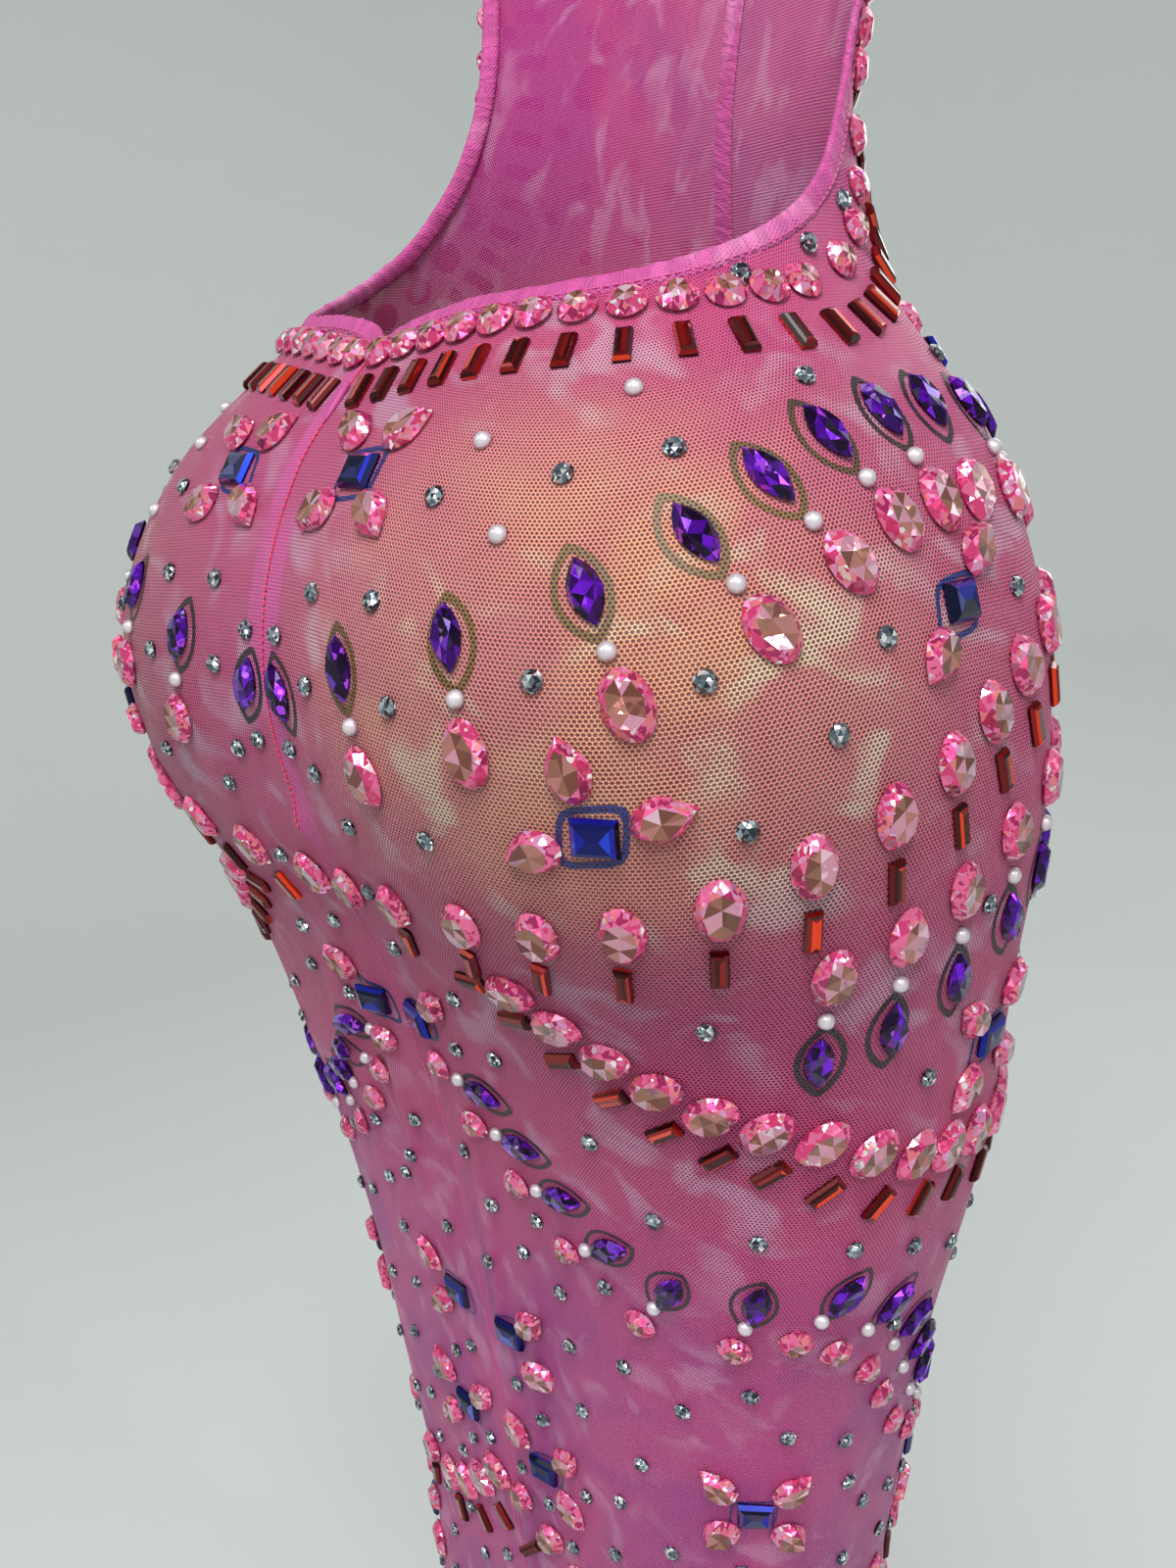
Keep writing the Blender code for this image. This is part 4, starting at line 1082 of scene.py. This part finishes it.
# Steps along the hem, height of its puckers, and its stitches: how far in, how high over the cloth, how far apart.
HEM_STEPS, PUCKERS, STITCHED_IN, STITCH_LIFT, STITCH_PITCH = 700, 0.00032, 0.0053, 0.0006, 0.0027
hem_a, hem_h = inside_edge(24, 0.0)
hem_a, hem_h = spaced(hem_a, hem_h, HEM_STEPS)
hem_ahead, hem_up = ray_directions(np.stack([hem_a, hem_h], -1))
hem_ahead[0], hem_up[0], hem_ahead[-1], hem_up[-1] = 0.0, -1.0, 1.0, 0.0
hem_run = np.concatenate([[0], np.cumsum(np.linalg.norm(np.diff(cloth(hem_a, hem_h), axis=0), axis=1))])
hem_rows, seam_rows = [], []
for side, name in ((1, "right"), (-1, "left")):
    sections = []
    for by, lift in NARROW:
        a, h = slide(hem_a, hem_h, hem_ahead * by, hem_up * by)
        a = np.maximum(a, edge_step)
        place, _, _, normal = cloth_frame(side, a, h)
        pucker = gathered(hem_run + (0.1 if side < 0 else 0), 3 if side > 0 else 4)
        lifted = lift + PUCKERS * pucker * (1 if lift > -0.0005 else 0.4)
        sections.append(place + normal * lifted[:, None])
    hem = folded(f"open_edge_hem_{name}", np.stack(sections, 1), False)
    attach(hem, "root")
    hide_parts(f"edge_hem_{name}")
    a, h = slide(hem_a, hem_h, hem_ahead * STITCHED_IN, hem_up * STITCHED_IN)
    hem_rows.append((side, np.maximum(a, 1.0), h, STITCH_LIFT, STITCH_PITCH))


def ring_hem(name, low, tall, thick, node, seed):
    """A level band all the way round, folded at its lower edge."""
    rise = (thick - WALL) / 2
    angles = np.arange(-180, 180, 0.75)
    girth = np.concatenate([[0], np.cumsum(np.linalg.norm(np.diff(cloth(angles, low), axis=0), axis=1))])
    pucker = gathered(girth, seed) * np.clip(np.minimum(girth, girth[-1] - girth) / 0.01, 0, 1)
    outline = [(0.0, 0.0), (0.02, 0.7), (0.12, 1.0), (0.5, 1.0), (0.88, 1.0), (0.98, 0.7), (1.0, 0.0)]
    sections = []
    for share, out in outline + outline[::-1]:
        inner = len(sections) >= len(outline)
        place = cloth(angles, np.full(len(angles), low + share * tall))
        normal = np.stack([-np.sin(np.radians(angles)), np.cos(np.radians(angles)), np.zeros(len(angles))], -1)
        lift = -WALL / 2 + (WALL / 2 + rise) * out * (-1 if inner else 1)
        soft = 0.00015 * pucker * (0 if inner else out)
        sections.append(place + normal * (lift + soft)[:, None])
    band = folded(name, np.stack(sections, 1), True)
    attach(band, "root")
    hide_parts(node)
    return band


neck_binding = ring_hem("neck_binding", BAND_FOOT, BAND_HEIGHT, BAND_THICKNESS, "neck_band", 21)
skirt_hem = ring_hem("skirt_hem", HEM_HEIGHT, BOTTOM_HEM_HEIGHT, BOTTOM_HEM_THICKNESS, "bottom_hem", 22)
for height in (BAND_FOOT + 0.003, BAND_FOOT + BAND_HEIGHT - 0.003, HEM_HEIGHT + BOTTOM_HEM_HEIGHT - 0.0015):
    for side in (1, -1):
        hem_rows.append((side, np.linspace(0.5, 179.5, 400), np.full(400, height), 0.00055, STITCH_PITCH))


# Seams: the two halves are sewn with a brighter thread at the centre back and centre front. The trimmings are
# pressed to the wearer's right, and to the left near the top of the back; they shine through the mesh as a strip.
SEAM_ROWS = [
    # angle, lowest and highest height, height over the cloth, list it joins
    (0.06, PUCKER[1], edge_heights[0], 0.00030, seam_rows),
    (0.06, low_height, PUCKER[1], 0.00015, hem_rows),
    (179.94, low_height, top_heights[-1], 0.00015, hem_rows),
]
for angle, lowest, highest, lift, rows in SEAM_ROWS:
    heights = np.linspace(lowest, highest, 420)
    rows.append((1, np.full(420, angle), heights, lift, 0.0021))
TRIMMINGS = [
    # name, angle of the seam, side it lies on, lowest and highest height
    ("back_trimming", 0.0, 1, low_height, TURN_OVER),
    ("back_trimming_top", 0.0, -1, TURN_OVER, edge_heights[0]),
    ("front_trimming", 180.0, 1, low_height, top_heights[-1]),
]
for name, start, side, lowest, highest in TRIMMINGS:
    wide = np.linspace(0.0002, TRIMMING, 5)[None, :] * (1 if start == 0 else -1)
    course = np.linspace(lowest, highest, int((highest - lowest) * 400) + 2)
    base_a, base_h = np.full((len(course), 5), start), np.repeat(course[:, None], 5, axis=1)
    a, h = slide(base_a, base_h, wide + 0 * base_h, 0 * base_h)
    if start:
        a, h = a[:, ::-1], h[:, ::-1]
    strip = cloth_mesh(name, side, a, h, -0.0007)
    strip.data.materials.append(turned)
    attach(strip, "root")

# The upper end of the back seam is a narrow fold that stands out between the stones.
tail = [(0.0072 * x, 0.0013 * wide * math.cos(math.pi * k / 4), 0.0008 + 0.0012 * wide * math.sin(math.pi * k / 4))
        for x, wide in ((-1.0, 0.15), (-0.85, 0.55), (-0.4, 0.9), (0.3, 1.0), (0.85, 0.7), (1.0, 0.2))
        for k in range(8)]
tail_faces = bands(5, 8) + [tuple(range(8)), tuple(range(40, 48))]
spot, _, _, out_of = cloth_frame(1, np.array([0.3, 0.3]), np.array([0.961, 0.975]))
seam_end = set_in_place("seam_end", solid("seam_end", tail, tail_faces, True), spot.mean(0)[None], out_of[:1],
                        np.diff(spot, axis=0), turned, 98)
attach(seam_end, "root")

STITCHES = [
    # name of the piece, length, thickness, dark and light of the thread, which rows
    ("hem_stitching", 0.0019, 0.00045, "#CE3C7C", "#E86AA4", hem_rows),
    ("seam_stitching", 0.0018, 0.00070, "#D81450", "#F43A74", seam_rows),
]
for name, length, thick, dark, light, rows in STITCHES:
    thread, thread_out = new_material("polyester_thread_" + name.split("_")[0])
    twist = add(thread.node_tree, "TexNoise", {"Scale": 900.0, "Detail": 1.0}).outputs[0]
    strand = add(thread.node_tree, "Mix", {0: twist, 6: linear(dark), 7: linear(light)},
                 data_type="RGBA").outputs[2]
    lay = add(thread.node_tree, "Bump", {"Strength": 0.4, "Distance": 0.0001, "Height": twist}).outputs[0]
    cord = add(thread.node_tree, "BsdfPrincipled", {
        "Base Color": strand, "Roughness": 0.45, "Sheen Weight": 0.2, "Normal": lay})
    thread.node_tree.links.new(cord.outputs[0], thread_out.inputs[0])
    bar = [(0.5 * length * x, 0.5 * thick * wide * math.cos(math.pi * k / 3),
            0.5 * thick * wide * math.sin(math.pi * k / 3))
           for x, wide in ((-1.0, 0.35), (-0.6, 1.0), (0.6, 1.0), (1.0, 0.35)) for k in range(6)]
    sides = bands(3, 6) + [tuple(range(6)), tuple(range(18, 24))]
    laid_stitches = []
    for side, angles, heights, lift, pitch in rows:
        run = np.linalg.norm(np.diff(cloth(side * angles, heights), axis=0), axis=1).sum()
        angles, heights = spaced(angles, heights, int(run / pitch))
        place, _, _, normal = cloth_frame(side, angles, heights)
        laid_stitches.append((place + normal * lift, normal, np.gradient(place, axis=0)))
    piece = set_in_place(name, solid(name, bar, sides, True),
                         *(np.concatenate(column) for column in zip(*laid_stitches)), thread, 99)
    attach(piece, "root")
